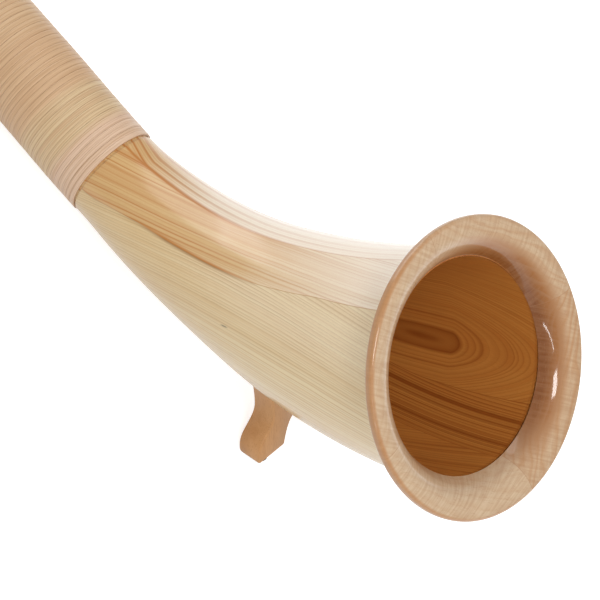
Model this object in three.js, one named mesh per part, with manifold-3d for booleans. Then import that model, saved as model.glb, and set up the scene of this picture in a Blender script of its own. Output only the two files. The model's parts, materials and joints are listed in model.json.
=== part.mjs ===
// Three-piece alphorn, parked on its foot and on the ring at its mouthpiece end.
// Millimetres, +Z up, +X towards the bell mouth, +Y to the player's left.
import * as THREE from 'three';
import { mergeVertices } from 'three/addons/utils/BufferGeometryUtils.js';
import Module from 'manifold-3d';

const wasm = await Module();
wasm.setup();

// Stations along the air column, measured back from the plane of the bell's rim.
const bellSectionLength = 1240;
const middleSectionLength = 1090;
const handSectionLength = 1060;
const windingStart = 450;
const recessRun = 0.5;

// The bend of the bell: its radius at the mouth, its tightest radius, and how it straightens.
const mouthBendRadius = 598;
const throatBendRadius = 367;
const tighteningLength = 410;
const straighteningLength = 129;
const playingAngle = THREE.MathUtils.degToRad(28.3);

// Wood of the bell, from the mouth to where the winding starts.
const mouthRadius = 102;
const throatRadius = 48.3;
const flareStationShares = [0, 0.18, 0.4, 0.67, 0.95, 1];
const flareDropShares = [0, 0.15, 0.385, 0.735, 0.985, 1];
const mouthWall = 10;
const throatWall = 8;
const cheekPlane = 45;
const glueLine = 0.1;

// Wood of the tube under its windings, and the bore that runs through it.
const windingRecess = 1.3;
const evenTubeLength = 110;
const bellTopRadius = 36.4;
const middleTopRadius = 24.3;
const handTopRadius = 14.6;
const bellTopBore = 29;
const middleTopBore = 18;
const handTopBore = 6.5;

// Cane winding: half-round strips side by side.
const caneWidth = 5;
const caneThickness = 2.4;
const caneShoulder = 1.3;
const caneCrown = 2.6;
const caneGap = 0.5;
const caneTurns = 24;

// Turned ring round the bell's mouth.
const ringRadius = 125;
const ringFront = 5.4;
const ringArris = 3;
const ringCrown = 0.8;
const ringRimBack = 1.8;
const ringDepth = 25;
const ringSeat = 15.4;
const ringBackEdge = 3;
const ringFaceRadius = 112;
const ringTurnRadius = 103.5;
const ringThroatRadius = 97;
const ringThroatDepth = 4.9;
const ringInnerRadius = 90.2;
const ringInnerRound = 2;

// Slip joints between the sections.
const tenonWall = 2;
const tenonInsertion = 55;
const tenonEmbed = 40;
const bushWall = 1.5;
const bushExtra = 3;
const slipFit = 0.1;
const pressFit = 0.1;
const sealWidth = 2.6;
const sealDepth = 1.2;
const sealSpacing = 22;
const sealFromEnd = 12;
const endRingLength = 32;
const endRingThickness = 6;
const endRingChamfer = 2.5;
const seatGap = 0.3;

// Ring and receiver at the top of the hand tube, and the mouthpiece in it.
const topRingRadius = 22;
const topRingLength = 30;
const receiverDepth = 34;
const receiverRadius = 9.6;
const shankDepth = 28;
const shankTipRadius = 7.3;
const shankRootRadius = 7.9;
const mouthpieceLength = 50;
const mouthpieceRadius = 14.5;
const mouthpieceWaist = 8.8;
const rimWidth = 5.6;
const rimRound = 2;
const cupDepth = 15;
const throatBore = 2.9;
const shankBore = 5.4;

// Foot: a bridge with two legs, cut from a board.
const footStation = 229;
const footDrop = 85;
const footDepth = 26;
const footToe = 54.9;
const footToeHeight = 9.8;
const footSoleOuter = 54;
const footSoleInner = 18;
const footWaist = 32.8;
const footWaistHeight = 52;
const footShoulder = 38.5;
const footCrown = 14;
const footArch = 33;
const footBevel = 1.5;
const dowelRadius = 4;
const dowelOffset = 16;
const dowelInFoot = 14;
const dowelInBell = 6;
const padRadius = 7;
const padThickness = 3;
const padOffset = 43.5;
const padInset = 9;

// Fits and fineness.
const clearance = 0.3;
const overrun = 60;
const weldDistance = 0.001;
const sides = 24;
const ringSides = 36;
const bellSteps = 14;
const recessSteps = 8;
const outlineSteps = 5;
const coveSteps = 3;

const bellTop = bellSectionLength;
const middleTop = bellTop + middleSectionLength;
const handTop = middleTop + handSectionLength;
const bendEnd = tighteningLength + straighteningLength;
const canePitch = caneWidth + caneGap;
const caneStart = windingStart + recessRun + clearance + caneWidth / 2;
const sleeveStart = caneStart + caneTurns * canePitch + caneWidth / 2 + clearance;

const colours = {
  spruce: { color: 0xdac49b, roughness: 0.35, metalness: 0 },
  maple: { color: 0xd0b494, roughness: 0.25, metalness: 0 },
  beech: { color: 0xb89269, roughness: 0.4, metalness: 0 },
  cane: { color: 0xd4b28e, roughness: 0.45, metalness: 0 },
  brass: { color: 0xc9a24a, roughness: 0.25, metalness: 1 },
  rubber: { color: 0x151515, roughness: 0.8, metalness: 0 },
  pearwood: { color: 0x9a6a44, roughness: 0.3, metalness: 0 },
};

// Centreline of the horn in its own plane: x along the axis of the rim, z towards the inside of the bend.
function turnAt(s) {
  const mouthCurve = 1 / mouthBendRadius;
  const throatCurve = 1 / throatBendRadius;
  const t = Math.min(s, tighteningLength);
  const tightening = mouthCurve * t + ((throatCurve - mouthCurve) * t ** 3) / (3 * tighteningLength ** 2);
  const u = Math.min(Math.max((s - tighteningLength) / straighteningLength, 0), 1);
  return tightening + throatCurve * straighteningLength * (u - u ** 3 + u ** 4 / 2);
}

function directionAt(s) {
  return new THREE.Vector3(-Math.cos(turnAt(s)), 0, Math.sin(turnAt(s)));
}

function normalAt(s) {
  return new THREE.Vector3(Math.sin(turnAt(s)), 0, Math.cos(turnAt(s)));
}

function pointAt(s) {
  const bent = Math.min(s, bendEnd);
  const steps = 40;
  const point = new THREE.Vector3();
  for (let i = 0; i < steps; i += 1) {
    point.addScaledVector(directionAt((bent * (i + 0.5)) / steps), bent / steps);
  }
  return point.addScaledVector(directionAt(bendEnd), s - bent);
}

function surfacePoint(s, radius, angle) {
  const point = pointAt(s).addScaledVector(normalAt(s), radius * Math.cos(angle));
  point.y = radius * Math.sin(angle);
  return point;
}

// Smooth curve through a table, read at one place.
function through(places, values, at) {
  let i = 0;
  while (i < places.length - 2 && at > places[i + 1]) i += 1;
  const slope = (k) => {
    const a = Math.max(k - 1, 0);
    const b = Math.min(k + 1, places.length - 1);
    return (values[b] - values[a]) / (places[b] - places[a]);
  };
  const span = places[i + 1] - places[i];
  const t = (at - places[i]) / span;
  const start = values[i] * (1 + 2 * t) * (1 - t) ** 2 + slope(i) * span * t * (1 - t) ** 2;
  const end = values[i + 1] * t * t * (3 - 2 * t) + slope(i + 1) * span * t * t * (t - 1);
  return start + end;
}

function between(places, values, at) {
  let i = 0;
  while (i < places.length - 2 && at > places[i + 1]) i += 1;
  const t = (at - places[i]) / (places[i + 1] - places[i]);
  return values[i] + (values[i + 1] - values[i]) * t;
}

function woodRadius(s) {
  if (s <= windingStart) {
    const drop = through(flareStationShares, flareDropShares, s / windingStart);
    return mouthRadius - (mouthRadius - throatRadius) * drop;
  }
  const under = throatRadius - windingRecess;
  const places = [windingStart, windingStart + evenTubeLength, bellTop, middleTop, handTop];
  return between(places, [under, under, bellTopRadius, middleTopRadius, handTopRadius], s);
}

function boreRadius(s) {
  if (s <= windingStart) {
    return woodRadius(s) - mouthWall + ((mouthWall - throatWall) * s) / windingStart;
  }
  const places = [windingStart, bellTop, middleTop, handTop];
  return between(places, [throatRadius - throatWall, bellTopBore, middleTopBore, handTopBore], s);
}

// Closed solid from any closed geometry: shared corners merged, slivers dropped, faces out.
function closed(geometry) {
  geometry.deleteAttribute('normal');
  geometry.deleteAttribute('uv');
  const merged = mergeVertices(geometry, weldDistance);
  const p = merged.attributes.position;
  const faces = [];
  let volume = 0;
  const [a, b, c] = [new THREE.Vector3(), new THREE.Vector3(), new THREE.Vector3()];
  for (let i = 0; i < merged.index.count; i += 3) {
    const f = [merged.index.getX(i), merged.index.getX(i + 1), merged.index.getX(i + 2)];
    if (f[0] === f[1] || f[1] === f[2] || f[2] === f[0]) continue;
    a.fromBufferAttribute(p, f[0]);
    b.fromBufferAttribute(p, f[1]);
    c.fromBufferAttribute(p, f[2]);
    volume += a.dot(b.cross(c));
    faces.push(f);
  }
  if (volume < 0) faces.forEach((f) => f.reverse());
  merged.setIndex(faces.flat());
  return merged;
}

function toSolid(geometry) {
  const shape = closed(geometry.clone());
  const vertProperties = new Float32Array(shape.attributes.position.array);
  const triVerts = new Uint32Array(shape.index.array);
  return new wasm.Manifold(new wasm.Mesh({ numProp: 3, vertProperties, triVerts }));
}

function fromSolid(body) {
  const mesh = body.getMesh();
  const geometry = new THREE.BufferGeometry();
  geometry.setAttribute('position', new THREE.BufferAttribute(new Float32Array(mesh.vertProperties), 3));
  geometry.setIndex([...mesh.triVerts]);
  return geometry;
}

function piece(name, geometry, finish) {
  const shape = closed(geometry);
  shape.computeVertexNormals();
  const material = new THREE.MeshStandardMaterial({ ...colours[finish], flatShading: true });
  const mesh = new THREE.Mesh(shape, material);
  mesh.name = name;
  return mesh;
}

// Half of a hollow tube along the centreline, split on the plane of the bend.
function halfTube(stations, hand) {
  const steps = sides / 2;
  const points = [];
  const index = [];
  const at = (k, i, layer) => (k * (steps + 1) + i) * 2 + layer;
  const quad = (a, b, c, d) => index.push(a, b, c, a, c, d);
  stations.forEach(({ s, outer, inner }, k) => {
    for (let i = 0; i <= steps; i += 1) {
      const angle = (hand * Math.PI * i) / steps;
      for (const radius of [outer, inner]) {
        const point = surfacePoint(s, radius, angle);
        points.push(point.x, i === 0 || i === steps ? 0 : point.y, point.z);
      }
      if (k === 0) continue;
      const [p, q] = [at(k - 1, i, 0), at(k, i, 0)];
      if (i === 0) quad(p, p + 1, q + 1, q);
      if (i === steps) quad(q, q + 1, p + 1, p);
      if (i === 0) continue;
      quad(at(k - 1, i - 1, 0), q - 2, q, p);
      quad(q + 1, q - 1, at(k - 1, i - 1, 1), p + 1);
    }
  });
  const last = stations.length - 1;
  for (let i = 1; i <= steps; i += 1) {
    quad(at(0, i - 1, 0), at(0, i, 0), at(0, i, 1), at(0, i - 1, 1));
    quad(at(last, i - 1, 1), at(last, i, 1), at(last, i, 0), at(last, i - 1, 0));
  }
  const geometry = new THREE.BufferGeometry();
  geometry.setAttribute('position', new THREE.Float32BufferAttribute(points, 3));
  geometry.setIndex(index);
  return geometry;
}

// Solid filling the outside of the bell near the foot, to cut the foot's saddle.
function bellEnvelope(from, to, margin) {
  const rows = 2 * outlineSteps;
  const points = [];
  const index = [];
  for (let k = 0; k <= rows; k += 1) {
    const s = from + ((to - from) * k) / rows;
    for (let i = 0; i < sides; i += 1) {
      points.push(...surfacePoint(s, woodRadius(s) + margin, (2 * Math.PI * i) / sides).toArray());
      const j = (i + 1) % sides;
      if (k > 0) index.push((k - 1) * sides + i, k * sides + i, k * sides + j);
      if (k > 0) index.push((k - 1) * sides + i, k * sides + j, (k - 1) * sides + j);
    }
  }
  const first = points.length / 3;
  points.push(...pointAt(from).toArray(), ...pointAt(to).toArray());
  for (let i = 0; i < sides; i += 1) {
    const j = (i + 1) % sides;
    index.push(first, i, j, first + 1, rows * sides + j, rows * sides + i);
  }
  const geometry = new THREE.BufferGeometry();
  geometry.setAttribute('position', new THREE.Float32BufferAttribute(points, 3));
  geometry.setIndex(index);
  return geometry;
}

// Turned piece from a closed outline of [radius, place along the axis].
function turned(outline, count = sides) {
  const points = outline.map(([radius, along]) => new THREE.Vector2(radius, along));
  points.push(points[0].clone());
  return new THREE.LatheGeometry(points, count);
}

function evenly(from, to, steps) {
  return Array.from({ length: steps + 1 }, (_, i) => from + ((to - from) * i) / steps);
}

function wood(s, outer = woodRadius(s), inner = boreRadius(s)) {
  return { s, outer, inner };
}

// Sizes of a slip joint at one station.
function slipJoint(station) {
  const bore = boreRadius(station);
  const tenon = bore + tenonWall;
  const bushInner = tenon + slipFit;
  const bushOuter = bushInner + bushWall;
  return { station, bore, tenon, bushInner, bushOuter, depth: tenonInsertion + bushExtra };
}

const lowerJoint = slipJoint(bellTop);
const upperJoint = slipJoint(middleTop);

// Stations of the wood where it takes a joint's bush below, or a tenon above.
function socketStations(joint) {
  const pocket = joint.bushOuter + pressFit;
  const start = joint.station - joint.depth - clearance;
  return [
    wood(start - recessRun),
    wood(start, woodRadius(start), pocket),
    wood(joint.station, woodRadius(joint.station), pocket),
  ];
}

function tenonStations(joint) {
  const pocket = joint.tenon + pressFit;
  const start = joint.station + seatGap;
  const end = joint.station + tenonEmbed + clearance;
  return [
    wood(start, woodRadius(start), pocket),
    wood(end, woodRadius(end), pocket),
    wood(end + recessRun),
  ];
}

function dowelPlaces() {
  return [['left', 1], ['right', -1]].map(([name, hand]) => ({ name, y: hand * dowelOffset }));
}

// The foot's own frame stands upright when the horn is played: x forward, z up, z = 0 at its soles.
const footFrame = new THREE.Group();
footFrame.rotation.y = playingAngle;
footFrame.position.copy(surfacePoint(footStation, woodRadius(footStation), Math.PI));
footFrame.translateZ(-footDrop);
footFrame.updateMatrix();

function dowel(y, extra) {
  const low = footDrop - dowelInFoot - extra;
  const high = footDrop + dowelInBell + extra;
  const pin = new THREE.CylinderGeometry(dowelRadius + extra, dowelRadius + extra, high - low, sides / 2);
  return pin.rotateX(Math.PI / 2).translate(0, y, (low + high) / 2);
}

// The bent bell boards end under the winding, where the section's straight tube is glued on.
function bellHalf(name, hand) {
  const mouth = evenly(ringSeat + seatGap, windingStart, bellSteps).map((s) => wood(s));
  const under = evenly(windingStart + recessRun, bendEnd, recessSteps).map((s) => wood(s));
  const boardEnd = windingStart + evenTubeLength;
  const whole = toSolid(halfTube([...mouth, ...under, wood(boardEnd)], hand));
  const tube = halfTube([wood(boardEnd + glueLine), ...socketStations(lowerJoint)], hand);
  const reach = 2 * (bellSectionLength + mouthRadius);
  const far = new THREE.BoxGeometry(reach, ringRadius, reach);
  const cheekSide = toSolid(far.clone().translate(0, hand * (cheekPlane + glueLine + ringRadius / 2), 0));
  const coreSide = toSolid(far.clone().translate(0, hand * (cheekPlane + ringRadius / 2), 0));
  const hole = dowel(hand * dowelOffset, clearance).applyMatrix4(footFrame.matrix);
  const core = whole.subtract(coreSide).subtract(toSolid(hole));
  return [
    piece(`bell_core_${name}`, fromSolid(core), 'spruce'),
    piece(`bell_cheek_${name}`, fromSolid(whole.intersect(cheekSide)), 'spruce'),
    piece(`bell_tube_${name}`, tube, 'spruce'),
  ];
}

// The ring is turned with a plain bore, then its seat is cut to the bell that it goes over.
function rimRing() {
  const backRadius = woodRadius(ringDepth) + clearance;
  const cove = new THREE.QuadraticBezierCurve(
    new THREE.Vector2(backRadius + ringBackEdge, -ringDepth),
    new THREE.Vector2(backRadius + ringBackEdge + ringArris / 2, -ringDepth / 3),
    new THREE.Vector2(ringRadius - ringArris / 2, -ringRimBack - ringArris / 2),
  );
  const outline = [
    [ringInnerRadius, -ringDepth],
    ...cove.getPoints(coveSteps).map((p) => p.toArray()),
    [ringRadius, -ringRimBack],
    [ringRadius, ringFront - ringArris],
    [ringRadius - ringArris * 0.3, ringFront - ringArris * 0.3],
    [ringRadius - ringArris, ringFront],
    [ringFaceRadius, ringFront - ringCrown],
    [ringTurnRadius, ringCrown],
    [ringThroatRadius, -ringThroatDepth],
    [ringInnerRadius + ringInnerRound, -ringSeat + ringInnerRound * 1.7],
    [ringInnerRadius, -ringSeat],
  ];
  const blank = toSolid(turned(outline, ringSides).rotateZ(-Math.PI / 2));
  const seat = toSolid(bellEnvelope(ringSeat, ringDepth + overrun, clearance));
  return piece('rim_ring', fromSolid(blank.subtract(seat)), 'maple');
}

// Cane laid round the tube as one strip, turn by turn.
function caneSection(s) {
  const inner = woodRadius(s) + clearance;
  const half = caneWidth / 2;
  return [
    [-half, inner],
    [-half, inner + caneShoulder],
    [-half + caneCrown / 2, inner + caneThickness],
    [half - caneCrown / 2, inner + caneThickness],
    [half, inner + caneShoulder],
    [half, inner],
  ];
}

function caneWinding() {
  const points = [];
  const index = [];
  const corners = caneSection(caneStart).length;
  const count = caneTurns * sides;
  for (let j = 0; j <= count; j += 1) {
    const s = caneStart + (canePitch * j) / sides;
    const angle = Math.PI + (2 * Math.PI * j) / sides;
    for (const [along, radius] of caneSection(s)) {
      points.push(surfacePoint(s + along, radius, angle));
    }
    for (let i = 0; i < corners && j > 0; i += 1) {
      const [a, b] = [(j - 1) * corners + i, (j - 1) * corners + ((i + 1) % corners)];
      index.push(a, b, b + corners, a, b + corners, a + corners);
    }
  }
  for (let i = 1; i < corners - 1; i += 1) {
    index.push(0, i + 1, i);
    index.push(count * corners, count * corners + i, count * corners + i + 1);
  }
  const geometry = new THREE.BufferGeometry().setFromPoints(points);
  geometry.setIndex(index);
  console.log(`least gap of the cane to itself: ${leastGap(points, corners).toFixed(2)} mm`);
  return geometry;
}

// Distance from each corner of the strip to the edges of the next turn.
function leastGap(points, corners) {
  const edge = new THREE.Line3();
  const nearest = new THREE.Vector3();
  const turn = sides * corners;
  let least = Infinity;
  for (let i = 0; i + turn + 3 * corners < points.length; i += 1) {
    for (let j = i + turn - 2 * corners; j < i + turn + 2 * corners; j += 1) {
      edge.set(points[j], points[j + corners]).closestPointToPoint(points[i], true, nearest);
      least = Math.min(least, nearest.distanceTo(points[i]));
    }
  }
  return least;
}

// Winding drawn as a plain sleeve between two stations.
function sleeve(name, from, to) {
  const inner = (s) => woodRadius(s) + clearance;
  const outline = [
    [inner(from), from],
    [inner(to), to],
    [inner(to) + caneThickness, to],
    [inner(from) + caneThickness, from],
  ];
  return piece(name, turned(outline), 'cane');
}

// Turned ring on the end of a section's wood.
function endRing(name, from, to, radius = woodRadius(from) + endRingThickness) {
  const outline = [
    [woodRadius(from) + pressFit, from],
    [woodRadius(to) + pressFit, to],
    [radius - endRingChamfer, to],
    [radius, to - endRingChamfer],
    [radius, from + endRingChamfer],
    [radius - endRingChamfer, from],
  ];
  return piece(name, turned(outline), 'maple');
}

function socketRing(name, joint) {
  return endRing(name, joint.station - endRingLength, joint.station);
}

function tenonRing(name, joint) {
  const start = joint.station + seatGap;
  return endRing(name, start, start + endRingLength, woodRadius(start) + endRingThickness);
}

function socketBush(name, joint) {
  const outline = [
    [joint.bushInner, joint.station - joint.depth],
    [joint.bushInner, joint.station],
    [joint.bushOuter, joint.station],
    [joint.bushOuter, joint.station - joint.depth],
  ];
  return piece(name, turned(outline), 'brass');
}

function sealPlaces(joint) {
  const first = joint.station - tenonInsertion + sealFromEnd;
  return [['lower', first], ['upper', first + sealSpacing]];
}

function tenon(name, joint) {
  const groove = joint.tenon - sealDepth;
  const half = sealWidth / 2 + pressFit;
  const outline = [
    [joint.bore, joint.station + tenonEmbed],
    [joint.bore, joint.station - tenonInsertion],
    [joint.tenon, joint.station - tenonInsertion],
  ];
  for (const [, place] of sealPlaces(joint)) {
    outline.push([joint.tenon, place - half], [groove, place - half]);
    outline.push([groove, place + half], [joint.tenon, place + half]);
  }
  outline.push([joint.tenon, joint.station + tenonEmbed]);
  return piece(name, turned(outline), 'brass');
}

function seal(name, joint, place) {
  const inner = joint.tenon - sealDepth + slipFit / 2;
  const outer = joint.bushInner - slipFit / 2;
  const edge = sealWidth / 2;
  const outline = [
    [inner, place - edge],
    [inner, place + edge],
    [outer, place + edge],
    [outer, place - edge],
  ];
  return piece(name, turned(outline), 'rubber');
}

function receiver() {
  const bottom = handTop - receiverDepth;
  const outline = [
    [shankTipRadius + slipFit, bottom],
    [shankTipRadius + slipFit, handTop - shankDepth],
    [shankRootRadius + slipFit, handTop],
    [receiverRadius, handTop],
    [receiverRadius, bottom],
  ];
  return piece('mouthpiece_receiver', turned(outline), 'brass');
}

function mouthpiece() {
  const base = handTop + seatGap;
  const rim = base + mouthpieceLength;
  const cupRadius = mouthpieceRadius - rimWidth;
  const outline = [
    [shankBore, handTop - shankDepth],
    [shankTipRadius, handTop - shankDepth],
    [shankRootRadius, handTop],
    [shankRootRadius, base],
    [mouthpieceWaist + rimRound, base],
    [mouthpieceWaist + rimRound, base + 2 * rimRound],
    [mouthpieceWaist, base + 3 * rimRound],
    [mouthpieceWaist, base + mouthpieceLength * 0.4],
    [mouthpieceRadius - rimRound, rim - cupDepth * 0.8],
    [mouthpieceRadius, rim - 3 * rimRound],
    [mouthpieceRadius, rim - rimRound],
    [mouthpieceRadius - rimRound, rim],
    [cupRadius + rimRound, rim],
    [cupRadius, rim - rimRound],
    [cupRadius * 0.85, rim - cupDepth * 0.6],
    [throatBore, rim - cupDepth],
    [throatBore, rim - cupDepth - 2 * rimRound],
  ];
  return piece('mouthpiece', turned(outline), 'pearwood');
}

function footOutline() {
  const swing = (footWaistHeight - footToeHeight) / 2;
  const top = footDrop + footCrown;
  const outline = new THREE.Shape();
  outline.moveTo(0, footArch);
  outline.bezierCurveTo(footSoleInner / 2, footArch, footSoleInner * 0.8, footArch * 0.6, footSoleInner, 0);
  outline.lineTo(footSoleOuter, 0);
  outline.lineTo(footToe, footToeHeight);
  const low = [footToe, footToeHeight + swing];
  const high = [footWaist, footWaistHeight - swing];
  outline.bezierCurveTo(...low, ...high, footWaist, footWaistHeight);
  outline.quadraticCurveTo(footWaist, (footWaistHeight + top) / 2, footShoulder, top);
  outline.lineTo(0, top);
  const right = outline.getPoints(outlineSteps);
  const left = right.slice(1, -1).map((p) => new THREE.Vector2(-p.x, p.y)).reverse();
  return new THREE.Shape([...right, ...left]);
}

function foot() {
  const board = new THREE.ExtrudeGeometry(footOutline(), {
    depth: footDepth - 2 * footBevel,
    bevelThickness: footBevel,
    bevelSize: footBevel,
    bevelOffset: -footBevel,
    bevelSegments: 1,
  });
  board.translate(0, 0, footBevel - footDepth / 2).rotateX(Math.PI / 2).rotateZ(Math.PI / 2);
  const envelope = bellEnvelope(footStation - overrun, footStation + overrun, clearance);
  envelope.applyMatrix4(footFrame.matrix.clone().invert());
  let body = toSolid(board).subtract(toSolid(envelope));
  for (const { y } of dowelPlaces()) body = body.subtract(toSolid(dowel(y, clearance)));
  return piece('bell_foot', fromSolid(body), 'beech');
}

function footPad(name, y) {
  const pad = new THREE.CylinderGeometry(padRadius, padRadius, padThickness, sides);
  pad.rotateX(Math.PI / 2).translate(footDepth / 2 - padInset, y, -seatGap - padThickness / 2);
  return piece(name, pad, 'rubber');
}

// Frame of the straight tube: y runs along its axis and reads as the station there.
function tubeLine() {
  const line = new THREE.Group();
  const along = directionAt(bendEnd);
  const basis = new THREE.Matrix4().makeBasis(new THREE.Vector3(0, 1, 0), along, normalAt(bendEnd));
  line.quaternion.setFromRotationMatrix(basis);
  line.position.copy(pointAt(bendEnd)).addScaledVector(along, -bendEnd);
  return line;
}

function bellSection() {
  const section = new THREE.Group();
  section.add(...bellHalf('left', 1), ...bellHalf('right', -1), rimRing());
  section.add(piece('bell_winding_cane', caneWinding(), 'cane'));
  const line = tubeLine();
  line.add(sleeve('bell_winding_upper', sleeveStart, bellTop - endRingLength - clearance));
  line.add(socketRing('bell_socket_ring', lowerJoint), socketBush('bell_socket_bush', lowerJoint));
  section.add(line);
  footFrame.add(foot(), footPad('foot_pad_left', padOffset), footPad('foot_pad_right', -padOffset));
  for (const { name, y } of dowelPlaces()) footFrame.add(piece(`foot_dowel_${name}`, dowel(y, 0), 'beech'));
  section.add(footFrame);
  return section;
}

function tubeSection(prefix, lower, top, topStations, topPieces) {
  const section = new THREE.Group();
  const stations = [...tenonStations(lower), ...topStations];
  section.add(piece(`${prefix}_tube_left`, halfTube(stations, 1), 'spruce'));
  section.add(piece(`${prefix}_tube_right`, halfTube(stations, -1), 'spruce'));
  const line = tubeLine();
  const ringTop = lower.station + seatGap + endRingLength;
  line.add(sleeve(`${prefix}_winding`, ringTop + clearance, top - clearance));
  line.add(tenonRing(`${prefix}_lower_ring`, lower), tenon(`${prefix}_tenon`, lower));
  for (const [place, station] of sealPlaces(lower)) {
    line.add(seal(`${prefix}_seal_${place}`, lower, station));
  }
  line.add(...topPieces);
  section.add(line);
  return section;
}

function middleSection() {
  const pieces = [socketRing('middle_socket_ring', upperJoint), socketBush('middle_socket_bush', upperJoint)];
  return tubeSection('middle', lowerJoint, middleTop - endRingLength, socketStations(upperJoint), pieces);
}

function handSection() {
  const pocket = receiverRadius + pressFit;
  const start = handTop - receiverDepth - clearance;
  const stations = [
    wood(start - recessRun),
    wood(start, woodRadius(start), pocket),
    wood(handTop, woodRadius(handTop), pocket),
  ];
  const ring = endRing('hand_top_ring', handTop - topRingLength, handTop, topRingRadius);
  return tubeSection('hand', upperJoint, handTop - topRingLength, stations, [ring, receiver()]);
}

// Parked, the horn stands on the heel of its foot and the far edge of its top ring.
function parkedAngle() {
  const heel = new THREE.Vector3(-footDepth / 2 + footBevel, 0, 0).applyMatrix4(footFrame.matrix);
  const edge = surfacePoint(handTop - endRingChamfer, topRingRadius, Math.PI);
  return Math.atan2(heel.z - edge.z, heel.x - edge.x);
}

const alphorn = new THREE.Group();
const mouthpieceLine = tubeLine();
mouthpieceLine.add(mouthpiece());
alphorn.add(bellSection(), middleSection(), handSection(), mouthpieceLine);
alphorn.rotation.y = parkedAngle();

// The origin is under the middle of the parked horn, on the floor.
const box = new THREE.Box3().setFromObject(alphorn, true);
alphorn.position.set(-(box.min.x + box.max.x) / 2, 0, -box.min.z);

export default alphorn;
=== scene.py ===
"""Looks of a three-piece alphorn: lacquered spruce, a maple ring, cane windings and a beech foot."""
import json
import math

import bmesh
import bpy
import numpy as np
from mathutils import Matrix, Vector


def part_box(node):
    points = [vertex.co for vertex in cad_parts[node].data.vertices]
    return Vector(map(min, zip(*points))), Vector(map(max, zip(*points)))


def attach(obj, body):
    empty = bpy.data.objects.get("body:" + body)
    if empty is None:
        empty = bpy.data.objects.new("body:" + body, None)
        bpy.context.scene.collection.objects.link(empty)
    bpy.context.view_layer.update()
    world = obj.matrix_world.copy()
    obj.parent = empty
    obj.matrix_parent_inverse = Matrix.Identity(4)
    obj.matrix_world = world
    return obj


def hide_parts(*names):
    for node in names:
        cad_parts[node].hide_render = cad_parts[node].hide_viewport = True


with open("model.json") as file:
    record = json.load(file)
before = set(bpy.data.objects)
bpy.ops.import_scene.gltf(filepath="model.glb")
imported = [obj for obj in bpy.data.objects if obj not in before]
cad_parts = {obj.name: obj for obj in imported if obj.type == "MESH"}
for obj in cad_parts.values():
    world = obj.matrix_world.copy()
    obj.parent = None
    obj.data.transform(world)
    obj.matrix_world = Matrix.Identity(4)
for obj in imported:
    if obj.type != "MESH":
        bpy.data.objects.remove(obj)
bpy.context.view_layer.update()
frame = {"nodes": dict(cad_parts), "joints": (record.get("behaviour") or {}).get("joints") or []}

# Bend of the horn, in metres and along the air column from the plane of the rim.
MOUTH_BEND_RADIUS = 0.598
THROAT_BEND_RADIUS = 0.367
TIGHTENING_LENGTH = 0.410
STRAIGHTENING_LENGTH = 0.129
BEND_END = TIGHTENING_LENGTH + STRAIGHTENING_LENGTH
WINDING_START = 0.450
BELL_TOP = 1.240
MIDDLE_TOP = 2.330
HAND_TOP = 3.390
RECEIVER_DEPTH = 0.034

# Wood of the bell and the tube.
MOUTH_RADIUS = 0.102
THROAT_RADIUS = 0.0483
FLARE_STATION_SHARES = (0, 0.18, 0.4, 0.67, 0.95, 1)
FLARE_DROP_SHARES = (0, 0.15, 0.385, 0.735, 0.985, 1)
MOUTH_WALL = 0.010
THROAT_WALL = 0.008
CHEEK_PLANE = 0.045
FAR_PITH = 3.0
# Course of the cheek's glue line: stations, and how far to the side it runs there.
SEAM_STATIONS = (0, 0.04, 0.09, 0.125, 0.16, 0.219, 0.272, 0.316, 0.373, 0.391, 0.412, 0.43, 0.45, 0.57)
SEAM_SIDES = (
    0.0550, 0.0525, 0.0488, 0.0463, 0.0460, 0.0450, 0.0425, 0.0412, 0.0413, 0.0424, 0.0438, 0.0451, 0.0460, 0.0460,
)
WINDING_RECESS = 0.0013
TUBE_START = WINDING_START + 0.110
TOP_RADII = (0.0364, 0.0243, 0.0146)
TOP_BORES = (0.029, 0.018, 0.0065)
EDGE = 0.0006
GLUE_LINE = 0.0001
TUBE_STATIONS = {"bell": (0.7, 0.85, 1.0, 1.1), "middle": (1.5, 1.8, 2.1), "hand": (2.6, 2.9, 3.2)}
BELL_ROWS = 90
RECESS_ROWS = 18
# Angles in degrees past which an edge stays sharp.
SHARP_DEGREES = 35
TURNED_SHARP = 40
RING_SHARP = 50
CANE_SHARP = 60

# Cane strips.
CANE_WIDTH = 0.00545
CANE_PITCH = 0.0055
CANE_THICKNESS = 0.0022
CANE_LIFT = 0.0004
CANE_STEPS = 44
CANE_SWAY = 0.00008
CANE_SWELL = 0.0001
CANE_ROUND_DEGREES = (180, 158, 132, 90, 48, 22, 0)
CANE_EDGE_SHARE = 0.8
CANE_FOOT_SHARE = 0.46
CANE_BULGE_POWER = 0.55
CANE_END_GAP = 0.0003
CANE_RING_GAP = 0.001
CANE_TURN_LENGTH = 0.305

# Ring on the mouth.
RING_RADIUS = 0.125
RING_FRONT = 0.0054
RING_ARRIS = 0.003
RING_PULL = 0.0006
RING_RIM_BACK = 0.0018
RING_DEPTH = 0.025
RING_BACK_EDGE = 0.003
RING_SEAT = 0.0154
RING_BACK_GAP = 0.0003
COLLAR_INNER_CHAMFER = 0.0006
COLLAR_CHAMFER = 0.0009
COVE_END = (0.0016, 0.0017)
HEEL_LENGTH = 0.0014
RING_SEAT_GAP = 0.0002
RING_SEAT_STEP = 0.0001
# Face of the ring, as radius and how far it stands before the rim's plane.
RING_FACE = (
    (0.1220, 0.0054), (0.1170, 0.0053), (0.1120, 0.0046), (0.1075, 0.0031), (0.1035, 0.0008),
    (0.1000, -0.0019), (0.0970, -0.0049), (0.0944, -0.0084), (0.0922, -0.0120), (0.0903, -0.0154),
)
RING_SEGMENTS = 4
RING_FIRST_JOINT = math.radians(88)
SEGMENT_SHIFT = 3.0

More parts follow.
